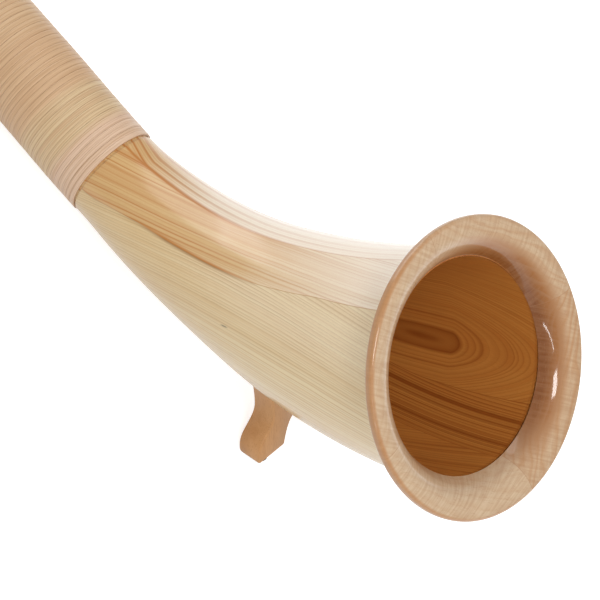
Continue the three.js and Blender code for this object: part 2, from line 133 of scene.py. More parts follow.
# Slip joints.
TENON_WALL = 0.002
TENON_INSERTION = 0.055
TENON_EMBED = 0.040
BUSH_WALL = 0.0015
BUSH_DEPTH = 0.058
SLIP_FIT = 0.0001
SEAL_WIDTH = 0.0026
SEAL_DEPTH = 0.0012
SEAL_FROM_END = 0.012
SEAL_SPACING = 0.022
END_RING_LENGTH = 0.032
END_RING_THICKNESS = 0.006
# Bead at each edge of an end ring, in steps down from its top and in from its end.
BEAD_STEP = 0.0012
BEAD = ((2, 0), (1, 1), (1, 3), (1.6, 3.6), (0.4, 4.6))
BARREL_SHARE = 0.4
RING_ROUNDING = 0.0012
BUSH_ROUNDING = 0.0004
BRASS_ROUNDING = 0.0003
SEAL_ROUNDING = 0.0005
TENON_TIP_ROUNDING = 0.0012
GROOVE_EDGE_ROUNDING = 0.0002
GROOVE_FOOT_ROUNDING = 0.0001
MOUTHPIECE_ROUNDING = 0.0004
SEAT_GAP = 0.0003
TOP_RING_RADIUS = 0.022
TOP_RING_LENGTH = 0.030
RECEIVER_RADIUS = 0.0096
SHANK_DEPTH = 0.028
SHANK_TIP_RADIUS = 0.0073
SHANK_ROOT_RADIUS = 0.0079
MOUTHPIECE_LENGTH = 0.050
MOUTHPIECE_RADIUS = 0.0145
BACKBORE_RADIUS = 0.0054
THROAT_BORE = 0.0029
CUP_RADIUS = 0.0089
CUP_DEPTH = 0.015
# Outside of the mouthpiece, as radius, height over its base and rounding; its rim and cup, with height from its end.
MOUTHPIECE_STEM = (
    (0.0108, 0, 0.0008), (0.0108, 0.0035, 0.0015), (0.0090, 0.0055, 0.0015),
    (0.0083, 0.016, 0.006), (0.0105, 0.027, 0.006), (0.0138, 0.034, 0.004),
)
MOUTHPIECE_RIM = (
    (0.0134, -0.0085, 0.0012), (MOUTHPIECE_RADIUS, -0.0065, 0.0015), (MOUTHPIECE_RADIUS, 0, 0.0025),
    (CUP_RADIUS, 0, 0.0022), (CUP_RADIUS * 0.92, -0.007, 0.004), (THROAT_BORE, -CUP_DEPTH, 0.0022),
    (THROAT_BORE, -CUP_DEPTH - 0.004, 0.0015),
)

# Foot.
PLAYING_ANGLE = math.radians(28.3)
FOOT_STATION = 0.229
FOOT_DROP = 0.085
FOOT_DEPTH = 0.026
FOOT_ROUNDING = 0.0019
FOOT_OVER_WALL = 0.014
PAD_RADIUS = 0.007
PAD_THICKNESS = 0.003
PAD_OFFSET = 0.0435
PAD_INSET = 0.009
PAD_SIDES = 48
PAD_TOP_RADIUS = PAD_RADIUS * 0.98
PAD_HOLE = 0.0001
PAD_ROUNDING = 0.0009
SADDLE_REACH = 0.06
SADDLE_GAP = 0.0001

SIDES = 128
TURNED_SIDES = 96


def turn_at(s):
    """Angle that the air column has turned through at station s."""
    mouth, throat = 1 / MOUTH_BEND_RADIUS, 1 / THROAT_BEND_RADIUS
    t = np.minimum(s, TIGHTENING_LENGTH)
    tightening = mouth * t + (throat - mouth) * t**3 / (3 * TIGHTENING_LENGTH**2)
    u = np.clip((s - TIGHTENING_LENGTH) / STRAIGHTENING_LENGTH, 0, 1)
    return tightening + throat * STRAIGHTENING_LENGTH * (u - u**3 + u**4 / 2)


def _centreline():
    s = np.linspace(-0.05, BEND_END, 1200)
    turn = turn_at(s)
    step = np.diff(s)
    x = np.concatenate([[0], np.cumsum(-(np.cos(turn[1:]) + np.cos(turn[:-1])) / 2 * step)])
    z = np.concatenate([[0], np.cumsum((np.sin(turn[1:]) + np.sin(turn[:-1])) / 2 * step)])
    return s, x - np.interp(0, s, x), z - np.interp(0, s, z)


LINE_S, LINE_X, LINE_Z = _centreline()
FULL_TURN = float(turn_at(np.array(BEND_END)))


def point_at(s):
    """Points of the centreline in the horn's own plane: x along the rim's axis, z towards the bend's inside."""
    s = np.asarray(s, float)
    bent = np.minimum(s, BEND_END)
    past = s - bent
    x = np.interp(bent, LINE_S, LINE_X) - past * math.cos(FULL_TURN)
    z = np.interp(bent, LINE_S, LINE_Z) + past * math.sin(FULL_TURN)
    return x, z


def _placement():
    """Tilt of the parked horn and the place of its rim centre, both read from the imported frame."""
    axis = next(j["axis"] for j in frame["joints"] if j["name"] == "middle_slide")
    tilt = math.atan2(axis[2], -axis[0]) - FULL_TURN
    low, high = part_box("mouthpiece_receiver")
    centre = (low + high) / 2
    x, z = point_at(HAND_TOP - RECEIVER_DEPTH / 2)
    cos, sin = math.cos(tilt), math.sin(tilt)
    return tilt, np.array([centre.x - (x * cos + z * sin), 0.0, centre.z - (z * cos - x * sin)])


TILT, RIM_CENTRE = _placement()


def to_row(x, y, z):
    """Horn plane coordinates to the part's own frame."""
    cos, sin = math.cos(TILT), math.sin(TILT)
    return np.stack([x * cos + z * sin + RIM_CENTRE[0], y + 0 * x, z * cos - x * sin + RIM_CENTRE[2]], -1)


def to_plane(points):
    """The part's own frame back to horn plane coordinates."""
    cos, sin = math.cos(TILT), math.sin(TILT)
    off = np.asarray(points, float).reshape(-1, 3) - RIM_CENTRE
    return np.stack([off[:, 0] * cos - off[:, 2] * sin, off[:, 1], off[:, 2] * cos + off[:, 0] * sin], -1)


def row_vector(x, y, z):
    return Vector(to_row(np.array(x), np.array(y), np.array(z)) - RIM_CENTRE)


def surface(s, radius, angle):
    """Points at a radius and angle round the centreline; angle 0 is the inside of the bend."""
    s = np.asarray(s, float)
    x, z = point_at(s)
    turn = turn_at(s)
    rise = radius * np.cos(angle)
    return to_row(x + rise * np.sin(turn), radius * np.sin(angle), z + rise * np.cos(turn))


def hermite(t, a, b, out, into):
    """Curve from a to b over t, with the slope out at its start and into at its end."""
    start = (1 + 2 * t) * (1 - t) ** 2 * a + t * (1 - t) ** 2 * out
    return start + t * t * (3 - 2 * t) * b + t * t * (t - 1) * into


def through(places, values, at):
    """The part's own smooth curve through a table."""
    places, values = np.array(places, float), np.array(values, float)
    low = np.maximum(np.arange(len(places)) - 1, 0)
    high = np.minimum(np.arange(len(places)) + 1, len(places) - 1)
    slopes = (values[high] - values[low]) / (places[high] - places[low])
    i = np.clip(np.searchsorted(places, at, side="left") - 1, 0, len(places) - 2)
    span = places[i + 1] - places[i]
    return hermite((at - places[i]) / span, values[i], values[i + 1], slopes[i] * span, slopes[i + 1] * span)


def quadratic(a, b, c, steps):
    t = np.linspace(0, 1, steps + 1)[:, None]
    return (1 - t) ** 2 * np.array(a) + 2 * t * (1 - t) * np.array(b) + t * t * np.array(c)


def bezier(a, b, c, d, steps):
    t = np.linspace(0, 1, steps + 1)[1:, None]
    a, b, c, d = (np.array(p, float) for p in (a, b, c, d))
    return (1 - t) ** 3 * a + 3 * t * (1 - t) ** 2 * b + 3 * t * t * (1 - t) * c + t**3 * d


def smooth_line(points, steps):
    """Curve through all the points, eased from each to the next."""
    p = np.array(points, float)
    p = np.concatenate([[2 * p[0] - p[1]], p, [2 * p[-1] - p[-2]]])
    t = np.linspace(0, 1, steps, endpoint=False)[:, None]
    made = [hermite(t, a, b, (b - before) / 2, (after - a) / 2) for before, a, b, after in zip(p, p[1:], p[2:], p[3:])]
    return np.concatenate([*made, p[-2:-1]])


def circle(sides):
    return 2 * np.pi * np.arange(sides) / sides


def wood_radius(s):
    s = np.asarray(s, float)
    drop = through(FLARE_STATION_SHARES, FLARE_DROP_SHARES, np.clip(s / WINDING_START, 0, 1))
    bell = MOUTH_RADIUS - (MOUTH_RADIUS - THROAT_RADIUS) * drop
    under = THROAT_RADIUS - WINDING_RECESS
    places = (WINDING_START, TUBE_START, BELL_TOP, MIDDLE_TOP, HAND_TOP)
    return np.where(s <= WINDING_START, bell, np.interp(s, places, (under, under, *TOP_RADII)))


def bore_radius(s):
    s = np.asarray(s, float)
    wall = MOUTH_WALL - (MOUTH_WALL - THROAT_WALL) * s / WINDING_START
    places = (WINDING_START, BELL_TOP, MIDDLE_TOP, HAND_TOP)
    tube = np.interp(s, places, (THROAT_RADIUS - THROAT_WALL, *TOP_BORES))
    return np.where(s <= WINDING_START, wood_radius(s) - wall, tube)


def grain_at(s, rise, side):
    """Place along the air column, towards the bend's inside and to the side."""
    return np.stack([s + 0 * rise, rise + 0 * s, side + 0 * s], -1)


def link(data, name):
    made = bpy.data.objects.new(name, data)
    bpy.context.scene.collection.objects.link(made)
    return made


def soften(mesh, sharp_degrees=SHARP_DEGREES):
    mesh.shade_smooth()
    mesh.set_sharp_from_angle(angle=math.radians(sharp_degrees))


def new_piece(name, points, faces, grain=None, sharp_degrees=SHARP_DEGREES):
    mesh = bpy.data.meshes.new(name)
    mesh.from_pydata(np.asarray(points).reshape(-1, 3).tolist(), [], [list(map(int, f)) for f in faces])
    if grain is not None:
        for layer_name, values in (("grain", grain), ("plank", to_plane(points))):
            layer = mesh.attributes.new(layer_name, "FLOAT_VECTOR", "POINT")
            layer.data.foreach_set("vector", np.asarray(values, np.float32).ravel())
    mesh.validate()
    soften(mesh, sharp_degrees)
    return link(mesh, name)


def lattice(rows, columns, wrap_rows=False, wrap_columns=False, first=0):
    """Quads of a grid of points, rows by columns."""
    r = np.arange(rows if wrap_rows else rows - 1)
    c = np.arange(columns if wrap_columns else columns - 1)
    r, c = (a.ravel() for a in np.meshgrid(r, c, indexing="ij"))
    r2, c2 = (r + 1) % rows, (c + 1) % columns
    return first + np.stack([r * columns + c, r2 * columns + c, r2 * columns + c2, r * columns + c2], -1)


def capped(rows, columns, first=0):
    """Quads of a grid whose rows are closed loops, and a face over each end."""
    start = first + np.arange(columns)
    end = start[::-1] + (rows - 1) * columns
    return [*lattice(rows, columns, wrap_columns=True, first=first).tolist(), start.tolist(), end.tolist()]


def face_out(piece):
    """Faces of each closed body turned outwards."""
    bm = bmesh.new()
    bm.from_mesh(piece.data)
    bmesh.ops.recalc_face_normals(bm, faces=bm.faces)
    bm.to_mesh(piece.data)
    bm.free()
    return piece


def paint(piece, *materials):
    """Gives the materials; an empty list isn't cleared, because that would reset the faces' own choice."""
    if piece.data.materials:
        piece.data.materials.clear()
    for material in materials:
        piece.data.materials.append(material)
    return piece


def fit(piece, body, slot, *nodes):
    """The piece rides on its body and stands for its CAD nodes. slot is not used."""
    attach(piece, body)
    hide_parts(*nodes)
    return piece


def rgba(colour):
    return (*colour, 1) if isinstance(colour, tuple) else colour


class Shader:
    """A small helper to wire a material's nodes."""

    def __init__(self, name):
        self.material = bpy.data.materials.new(name)
        self.material.use_nodes = True
        self.tree = self.material.node_tree
        self.tree.nodes.clear()
        self.bsdf = self.node("ShaderNodeBsdfPrincipled")
        self.node("ShaderNodeOutputMaterial", self.bsdf.outputs[0])

    def put(self, socket, value):
        if isinstance(value, bpy.types.NodeSocket):
            self.tree.links.new(value, socket)
        elif value is not None:
            socket.default_value = value

    def node(self, kind, *values):
        """A new node, with values or links for its first sockets."""
        node = self.tree.nodes.new(kind)
        for socket, value in zip(node.inputs, values):
            self.put(socket, value)
        return node

    def math(self, operation, *values, clamp=False):
        node = self.node("ShaderNodeMath", *values)
        node.operation = operation
        node.use_clamp = clamp
        return node.outputs[0]

    def add(self, a, b, clamp=False):
        return self.math("ADD", a, b, clamp=clamp)

    def subtract(self, a, b):
        return self.math("SUBTRACT", a, b)

    def multiply(self, product, *factors):
        for factor in factors:
            product = self.math("MULTIPLY", product, factor)
        return product

    def absolute(self, value):
        return self.math("ABSOLUTE", value)

    def hypotenuse(self, a, b):
        return self.math("SQRT", self.add(self.multiply(a, a), self.multiply(b, b)))

    def coordinates(self, attribute):
        node = self.node("ShaderNodeAttribute")
        node.attribute_name = attribute
        return node.outputs["Vector"]

    def dot(self, vector, direction, shift=0.0):
        node = self.node("ShaderNodeVectorMath", vector, direction)
        node.operation = "DOT_PRODUCT"
        return self.subtract(node.outputs["Value"], shift)

    def object_place(self):
        return self.node("ShaderNodeTexCoord").outputs["Object"]

    def split(self, vector):
        return tuple(self.node("ShaderNodeSeparateXYZ", vector).outputs)

    def join(self, x, y, z):
        return self.node("ShaderNodeCombineXYZ", x, y, z).outputs[0]

    def noise(self, vector, scale=None, shift=(0, 0, 0), detail=2.0, rough=0.5):
        """Noise from 0 to 1. scale is waves per unit along each axis, and shift picks another patch of it."""
        if scale:
            vector = self.node("ShaderNodeMapping", vector, shift, None, scale).outputs[0]
        node = self.node("ShaderNodeTexNoise", vector)
        for socket, value in (("Scale", 1.0), ("Detail", detail), ("Roughness", rough)):
            node.inputs[socket].default_value = value
        return node.outputs["Fac"]

    def ramp(self, value, *stops):
        """Colours or levels at their places from 0 to 1, with straight blends between."""
        node = self.node("ShaderNodeValToRGB", value)
        elements = node.color_ramp.elements
        elements.remove(elements[1])
        elements[0].position = stops[0][0]
        for place, _ in stops[1:]:
            elements.new(place)
        for index, (_, colour) in enumerate(stops):
            elements[index].color = rgba(colour if isinstance(colour, tuple) else (colour, colour, colour))
        return node.outputs[0]

    def rescale(self, value, low, high):
        return self.math("DIVIDE", self.subtract(value, low), high - low, clamp=True)

    def bands(self, value, low, high, marks):
        """A soft peak at each mark: its place, half width, height and the share of the width that is flat."""
        stops = [(0.0, 0.0)]
        for place, half, height, *flat in marks:
            level = half * flat[0] if flat else 0.0
            steps = [(-half, 0.0), (-level, height), (level, height), (half, 0.0)]
            if not flat:
                steps.pop(2)
            stops += [((place + off - low) / (high - low), value) for off, value in steps]
        return self.ramp(self.rescale(value, low, high), *stops)

    def mix(self, share, a, b):
        node = self.node("ShaderNodeMix", share)
        node.data_type = "RGBA"
        for socket, value in zip(node.inputs[6:8], (a, b)):
            self.put(socket, rgba(value))
        return node.outputs[2]

    def tint(self, colour, pattern, first, last, other):
        """The colour with some of the other where the pattern says so: two stops of pattern and share."""
        return self.mix(self.ramp(pattern, first, last), colour, other)

    def bump(self, height, strength, distance):
        node = self.node("ShaderNodeBump")
        node.inputs["Strength"].default_value = strength
        node.inputs["Distance"].default_value = distance
        self.put(node.inputs["Height"], height)
        self.put(self.bsdf.inputs["Normal"], node.outputs[0])

    def finish(self, colour, roughness, coat=0.0, coat_roughness=0.1, metallic=0.0, specular=0.5):
        self.put(self.bsdf.inputs["Base Color"], rgba(colour))
        self.put(self.bsdf.inputs["Roughness"], roughness)
        self.bsdf.inputs["Metallic"].default_value = metallic
        self.bsdf.inputs["Coat Weight"].default_value = coat
        self.bsdf.inputs["Coat Roughness"].default_value = coat_roughness
        self.bsdf.inputs["Specular IOR Level"].default_value = specular
        return self.material


def srgb(r, g, b):
    """A colour written as it looks on a screen, 0 to 255."""
    def linear(v):
        v /= 255
        return v / 12.92 if v <= 0.04045 else ((v + 0.055) / 1.055) ** 2.4
    return linear(r), linear(g), linear(b)


class Board:
    """A plank's growth rings: the fibre's direction, the rings' spacing and the pith, which is far off if not given.

    zero is the distance from the pith that counts as nought. drift is (station, sign, slope): past the station, towards
    the winding for a sign of 1 or the mouth for -1, the rings move by the slope.
    """

    def __init__(self, fibre, normal, spacing, seed, marks=(), wave=0.0012, pith=None, zero=None, drift=None):
        fibre, normal = (np.array(v, float) for v in (fibre, normal))
        self.pith = -normal / np.linalg.norm(normal) * FAR_PITH if pith is None else pith
        self.fibre = fibre / np.linalg.norm(fibre)
        normal = normal - self.fibre * normal.dot(self.fibre)
        self.normal = normal / np.linalg.norm(normal)
        self.cross = np.cross(self.fibre, self.normal)
        self.zero = abs(float(self.pith.dot(self.normal))) if zero is None else zero
        self.spacing, self.seed, self.marks, self.wave, self.drift = spacing, seed, marks, wave, drift


# Growth rings: how far slow and fine waves shift them, in shares of the board's wave.
SLOW_WAVES = 4
FINE_WAVES = 0.5
DRIFT_EASE = 0.006
MARK_RANGE_MM = 100
# One year's growth from its early wood to its late wood, as place in the year and darkness.
YEAR = ((0.0, 0.3), (0.12, 0.0), (0.45, 0.05), (0.78, 0.5), (0.92, 1.0), (1.0, 0.3))
# Ends of the small resin streak on the near cheek, in the horn's own plane.
STREAK_START = np.array((-0.2221, -0.0696, 0.0661))
STREAK_END = np.array((-0.2106, -0.0709, 0.0637))
# Where the glue lines show a darker border, as station and share: on the plane of the bend, and beside the cheek.
SEAM_BORDERS = (((0.2, 0.0), (0.33, 1.0), (1.0, 1.0)), ((0.2, 0.0), (0.27, 1.0), (0.34, 1.0), (0.40, 0.1)))


def ring_distance(sh, board, place, slow, fine):
    """Distance from the pith, less the pith's own distance from the rim centre, with the waves of real wood."""
    along_normal = sh.dot(place, board.normal, float(board.pith.dot(board.normal)))
    across = sh.dot(place, board.cross, float(board.pith.dot(board.cross)))
    far = sh.subtract(sh.hypotenuse(along_normal, across), board.zero)
    if board.drift:
        start, sign, slope = board.drift
        station = sh.split(sh.coordinates("grain"))[0]
        past = sh.math("MAXIMUM", sh.multiply(sh.subtract(station, start), sign), 0.0)
        eased = sh.math("DIVIDE", sh.multiply(past, past), sh.add(past, DRIFT_EASE))
        far = sh.add(far, sh.multiply(eased, slope))
    far = sh.add(far, sh.multiply(sh.subtract(slow, 0.5), board.wave * SLOW_WAVES))
    return sh.add(far, sh.multiply(sh.subtract(fine, 0.5), board.wave * FINE_WAVES))


def late_wood(sh, board, station, far, years, lines, bold, winding):
    """Dark line of each year, and the board's bold marks, which fade towards the mouth."""
    strength = sh.noise(sh.join(sh.multiply(years, 0.3), board.seed + 3.0, sh.multiply(station, 6)))
    strength = sh.multiply(sh.ramp(strength, (0.32, 0.3), (0.66, 1.0)), lines)
    line = sh.multiply(sh.ramp(sh.math("FRACT", years), *YEAR), strength)
    if not board.marks:
        return line
    peaks = sh.bands(sh.multiply(far, 1000), -MARK_RANGE_MM, MARK_RANGE_MM, board.marks)
    fade = sh.ramp(sh.rescale(station, 0.1, 0.35), (0.0, 1.0 - winding * 0.7), (1.0, 1.0))
    peaks = sh.multiply(peaks, bold, fade)
    return sh.add(sh.multiply(line, sh.add(peaks, 1.0)), sh.multiply(peaks, 0.9), clamp=True)


def glue_lines(sh, station, side, winding):
    """Thin lines on the plane of the bend and beside the cheek, with a darker border towards the winding."""
    middle = sh.multiply(sh.absolute(side), 1000)
    cheek = sh.absolute(sh.subtract(middle, CHEEK_PLANE * 1000))
    glue = sh.ramp(sh.math("MINIMUM", middle, cheek), (0.12, 0.6), (0.45, 0.0))
    for off, course in zip((middle, cheek), SEAM_BORDERS if winding else ()):
        border = sh.ramp(sh.multiply(off, 0.1), (0.03, 1.0), (0.23, 0.0))
        glue = sh.math("MAXIMUM", glue, sh.multiply(border, sh.ramp(station, *course)))
    return glue


def resin_streak(sh, place):
    """Small dark resin pocket in the near cheek, between the streak's two ends."""
    length = float(np.linalg.norm(STREAK_END - STREAK_START))
    along = (STREAK_END - STREAK_START) / length
    middle = (STREAK_START + STREAK_END) / 2
    up = np.cross(along, (0, 1, 0))
    up /= np.linalg.norm(up)
    off_middle = sh.absolute(sh.dot(place, along, float(middle.dot(along))))
    off_axis = sh.absolute(sh.dot(place, up, float(middle.dot(up))))
    near_side = sh.math("LESS_THAN", sh.split(place)[1], 0.0)
    tapered = sh.ramp(sh.math("DIVIDE", off_middle, length / 2), (0.3, 1.0), (1.0, 0.0))
    narrow = sh.ramp(sh.multiply(off_axis, 1000), (0.25, 1.0), (0.8, 0.0))
    return sh.multiply(tapered, narrow, near_side)


def spruce(name, board, early, late, warm, lines=0.6, bold=0.8, winding=0.0, painted_highlight=None, streak=False,
           shaded=False):
    """Softwood under clear lacquer, with growth rings cut through as the board lies in the bell.

    lines and bold are the strength of the yearly lines and of the board's marks, and winding that of the warmer tone
    towards the winding. painted_highlight is two stations between which a painted highlight turns the wood paler and
    its lines fainter, streak adds the near cheek's resin and painted light that makes the cheek paler towards its top,
    and shaded gives a lower specular level and painted shade as a dark band in the bore just inside the mouth ring.
    """
    sh = Shader(name)
    seed = board.seed
    place = sh.coordinates("plank")
    station, rise, side = sh.split(sh.coordinates("grain"))
    lying = sh.join(sh.dot(place, board.fibre), sh.dot(place, board.normal), sh.dot(place, board.cross))
    slow = sh.noise(lying, (5, 16, 16), (seed, seed * 2, seed * 3))
    fine = sh.noise(lying, (26, 120, 120), (seed, seed, seed))
    tone = sh.noise(lying, (4, 26, 26), (seed + 7, seed, seed), detail=3)
    fibre = sh.noise(lying, (60, 2200, 2200), (seed, 0, 0))
    far = ring_distance(sh, board, place, slow, fine)
    years = sh.math("DIVIDE", far, board.spacing)
    uneven = sh.noise(sh.join(sh.multiply(years, 0.35), seed, 0.0))
    years = sh.add(years, sh.multiply(uneven, 2.6))
    line = late_wood(sh, board, station, far, years, lines, bold, winding)
    band = sh.noise(sh.join(sh.multiply(years, 0.8), seed + 5.0, 0.0), detail=1)
    warmth = sh.add(sh.ramp(tone, (0.35, 0.0), (0.7, 0.25)), sh.ramp(band, (0.36, 0.0), (0.64, 0.4)))
    base = sh.mix(warmth, early, warm)
    base = sh.mix(sh.multiply(sh.rescale(station, 0.2, 0.42), winding), base, warm)
    # Painted highlight: between the two stations the wood turns paler and its lines fainter, in place of a white
    # reflection.
    if painted_highlight:
        highlight_share = sh.multiply(sh.rescale(station, *painted_highlight), 0.8)
        base = sh.mix(highlight_share, base, PALE_PAINTED_LIGHT)
        line = sh.multiply(line, sh.subtract(1.0, sh.multiply(highlight_share, 0.55)))
    # Painted light: the near cheek turns paler towards its top.
    if streak:
        base = sh.mix(sh.multiply(sh.rescale(rise, 0.030, 0.055), 0.22), base, PALE_PAINTED_LIGHT)
    colour = sh.mix(line, base, late)
    colour = sh.tint(colour, fibre, (0.3, 0.14), (0.62, 0.0), late)
    colour = sh.mix(glue_lines(sh, station, side, winding), colour, late)
    # Painted shade: a dark band in the bore just inside the mouth ring.
    if shaded:
        edge = sh.rescale(station, RING_SEAT + 0.003, RING_SEAT)
        colour = sh.mix(sh.multiply(edge, 0.45), colour, ORANGE_DARK)
    if streak:
        colour = sh.mix(sh.multiply(resin_streak(sh, place), 0.8), colour, RESIN)
    sh.bump(sh.add(sh.multiply(line, 0.5), sh.multiply(fibre, 0.35)), 0.08, 0.0003)
    rough = sh.ramp(tone, (0.2, 0.34), (0.8, 0.44))
    return sh.finish(colour, rough, coat=1.0, coat_roughness=0.17, specular=0.1 if shaded else 0.25)


def close_grained(name, base, dark, fleck, stretch, rough=0.3, coat=0.6, ripple=0.0, seed=0.0):
    """Hard, close-grained wood: soft streaks, short flecks and a faint ripple across the grain."""
    sh = Shader(name)
    place = sh.coordinates("grain")
    streak = sh.noise(place, (stretch, 95, 60), (seed, seed, 0), 4, 0.6)
    broad = sh.noise(place, (2.5, 22, 22), (seed + 4, 0, seed), 3)
    short = sh.noise(place, (160, 1400, 900), (seed, 2, 0))
    cross = sh.noise(place, (210, 10, 16), (seed, 0, 9))
    colour = sh.tint(base, streak, (0.36, 0.0), (0.66, 0.75), dark)
    colour = sh.tint(colour, broad, (0.35, 0.0), (0.75, 0.45), dark)
    colour = sh.tint(colour, short, (0.55, 0.0), (0.72, 0.35), fleck)
    colour = sh.mix(sh.multiply(sh.ramp(cross, (0.35, 0.0), (0.65, 1.0)), ripple), colour, dark)
    sh.bump(sh.add(streak, short), 0.08, 0.0003)
    rough = sh.ramp(broad, (0.2, rough - 0.04), (0.8, rough + 0.06))
    return sh.finish(colour, rough, coat=coat, coat_roughness=0.06, specular=0.2)


def ring_amber(sh, which, side, reach, year, broad):
    """Share of amber on the ring: patches that differ by segment, and painted shade along the rim's outer edge on the
    near side.
    """
    warm = sh.ramp(which, (0.0, 0.85), (0.3, 0.1), (0.6, 0.2), (1.0, 0.3))
    patches = sh.multiply(sh.add(sh.multiply(year, 0.35), sh.multiply(broad, 0.6)), warm)
    # Painted shade: amber along the rim's outer edge on the near side.
    near = sh.ramp(sh.rescale(side, -0.04, 0.04), (0.0, 1.0), (1.0, 0.15))
    rim = sh.multiply(sh.rescale(reach, 0.1212, 0.1232), near)
    return sh.add(patches, sh.multiply(rim, 0.75), clamp=True)


def ring_ripple(sh, which, along, radial, depth):
    """Ripple across the grain, which leans in the bottom segment."""
    lean = sh.ramp(which, (0.2, 0.0), (0.3, 0.8), (0.4, 0.8), (0.5, 0.0))
    leaning = sh.join(sh.subtract(along, sh.multiply(radial, lean)), radial, depth)
    return sh.noise(leaning, (430, 34, 34), rough=0.6)


def ring_maple():
    """Rippled maple of the mouth ring: growth bands in each segment and thin glue joints, with painted shade in amber
    and dark brown towards the bore, strongest on the far side.
    """
    sh = Shader("maple_ring")
    along, radial, flare = sh.split(sh.coordinates("grain"))
    depth, side, _ = sh.split(sh.coordinates("plank"))
    part = sh.math("ROUND", sh.math("DIVIDE", along, SEGMENT_SHIFT))
    which = sh.math("DIVIDE", part, RING_SEGMENTS - 1)
    tangent = sh.subtract(along, sh.multiply(part, SEGMENT_SHIFT))
    reach = sh.hypotenuse(radial, tangent)
    far_side = sh.rescale(side, 0.01, 0.06)
    lying = sh.join(along, radial, depth)
    years = sh.add(sh.multiply(radial, 110), sh.multiply(depth, 75))
    years = sh.add(years, sh.multiply(sh.noise(lying, (14, 60, 60)), 3.4))
    year = sh.ramp(sh.math("FRACT", years), (0.0, 0.2), (0.3, 0.0), (0.8, 1.0), (1.0, 0.2))
    ripple = ring_ripple(sh, which, along, radial, depth)
    fleck = sh.noise(lying, (170, 900, 900), (3, 0, 0))
    broad = sh.noise(lying, (18, 40, 40), (0, 5, 0), detail=3)
    # Painted shade: warmer amber on the inner slope of the far side.
    slope = sh.multiply(sh.rescale(reach, 0.110, 0.100), far_side, sh.ramp(year, (0.2, 0.95), (0.9, 0.6)))
    # Painted shade: dark brown on the flare into the bore, strongest on the far side.
    far_side_shade = sh.ramp(sh.rescale(side, -0.02, 0.06), (0.0, 0.1), (0.3, 0.22), (1.0, 1.0))
    inwards = sh.multiply(sh.rescale(depth, 0.004, -0.010), far_side_shade, flare)
    bold = sh.add(0.14, sh.multiply(far_side, 0.16))
    colour = sh.mix(sh.multiply(year, bold), MAPLE, MAPLE_AMBER)
    colour = sh.mix(ring_amber(sh, which, side, reach, year, broad), colour, MAPLE_AMBER)
    colour = sh.mix(slope, colour, MAPLE_SLOPE_SHADE)
    colour = sh.mix(inwards, colour, MAPLE_FLARE_SHADE)
    colour = sh.tint(colour, ripple, (0.36, 0.34), (0.64, 0.0), MAPLE_DARK)
    colour = sh.tint(colour, fleck, (0.56, 0.0), (0.72, 0.3), MAPLE_DARK)
    joint = sh.multiply(sh.subtract(radial, sh.absolute(tangent)), 1000)
    colour = sh.tint(colour, joint, (0.1, 0.6), (0.5, 0.0), MAPLE_DARK)
    sh.bump(sh.add(ripple, fleck), 0.05, 0.0003)
    rough = sh.ramp(broad, (0.2, 0.26), (0.8, 0.34))
    return sh.finish(colour, rough, coat=0.9, coat_roughness=0.08, specular=0.1)


def cane_material():
    """Rattan strip: fibres along the strip, tone drifting from turn to turn, pinker first turns and painted shade at
    the strip's edges.
    """
    sh = Shader("cane_strip")
    length, across, station = sh.split(sh.coordinates("grain"))
    fibre = sh.noise(sh.join(sh.multiply(length, 18), sh.multiply(across, 1700), 0.0), detail=3, rough=0.6)
    coarse = sh.noise(sh.join(sh.multiply(length, 9), sh.multiply(across, 760), 4.0))
    turns = sh.math("FLOOR", sh.math("DIVIDE", length, CANE_TURN_LENGTH))
    tone = sh.noise(sh.join(sh.multiply(turns, 0.71), sh.multiply(length, 1.4), 3.0))
    drift = sh.noise(sh.join(sh.multiply(station, 13), 1.7, 0.0))
    first = sh.math("DIVIDE", sh.subtract(station, WINDING_START), 0.2, clamp=True)
    pink, straw, tan = CANE_PINK, CANE_STRAW, CANE_TAN
    colour = sh.ramp(first, (0.0, pink), (0.15, pink), (0.2, straw), (0.37, straw), (0.41, tan), (1.0, tan))
    colour = sh.mix(sh.multiply(sh.ramp(drift, (0.45, 0.0), (0.7, 1.0)), 0.35), colour, straw)
    colour = sh.tint(colour, tone, (0.3, 0.0), (0.8, 0.35), CANE_TURN)
    colour = sh.tint(colour, fibre, (0.42, 0.0), (0.7, 0.35), CANE_FIBRE)
    colour = sh.tint(colour, coarse, (0.47, 0.0), (0.57, 0.5), CANE_COARSE)
    # Painted shade: the strip darkens towards its edges, where the gaps between the turns are.
    edge = sh.multiply(sh.absolute(across), 2 / CANE_WIDTH)
    colour = sh.tint(colour, edge, (0.88, 0.0), (1.0, 0.3), CANE_GAP_SHADE)
    sh.bump(fibre, 0.25, 0.0004)
    return sh.finish(colour, sh.ramp(tone, (0.2, 0.4), (0.8, 0.55)), coat=0.25, coat_roughness=0.28)


def brass_material():
    sh = Shader("turned_brass")
    place = sh.coordinates("grain")
    lines = sh.noise(place, (900, 900, 4))
    tone = sh.noise(place, (30, 30, 30), detail=3)
    colour = sh.tint(BRASS, tone, (0.4, 0.0), (0.8, 0.5), BRASS_DARK)
    sh.bump(lines, 0.06, 0.0002)
    return sh.finish(colour, sh.ramp(tone, (0.3, 0.2), (0.8, 0.34)), metallic=1.0)


def rubber_material():
    sh = Shader("black_rubber")
    speck = sh.noise(sh.object_place(), (900, 900, 900), detail=3)
    sh.bump(speck, 0.3, 0.0002)
    colour = sh.mix(speck, RUBBER, RUBBER_WORN)
    return sh.finish(colour, sh.ramp(speck, (0.3, 0.6), (0.8, 0.8)), specular=0.3)


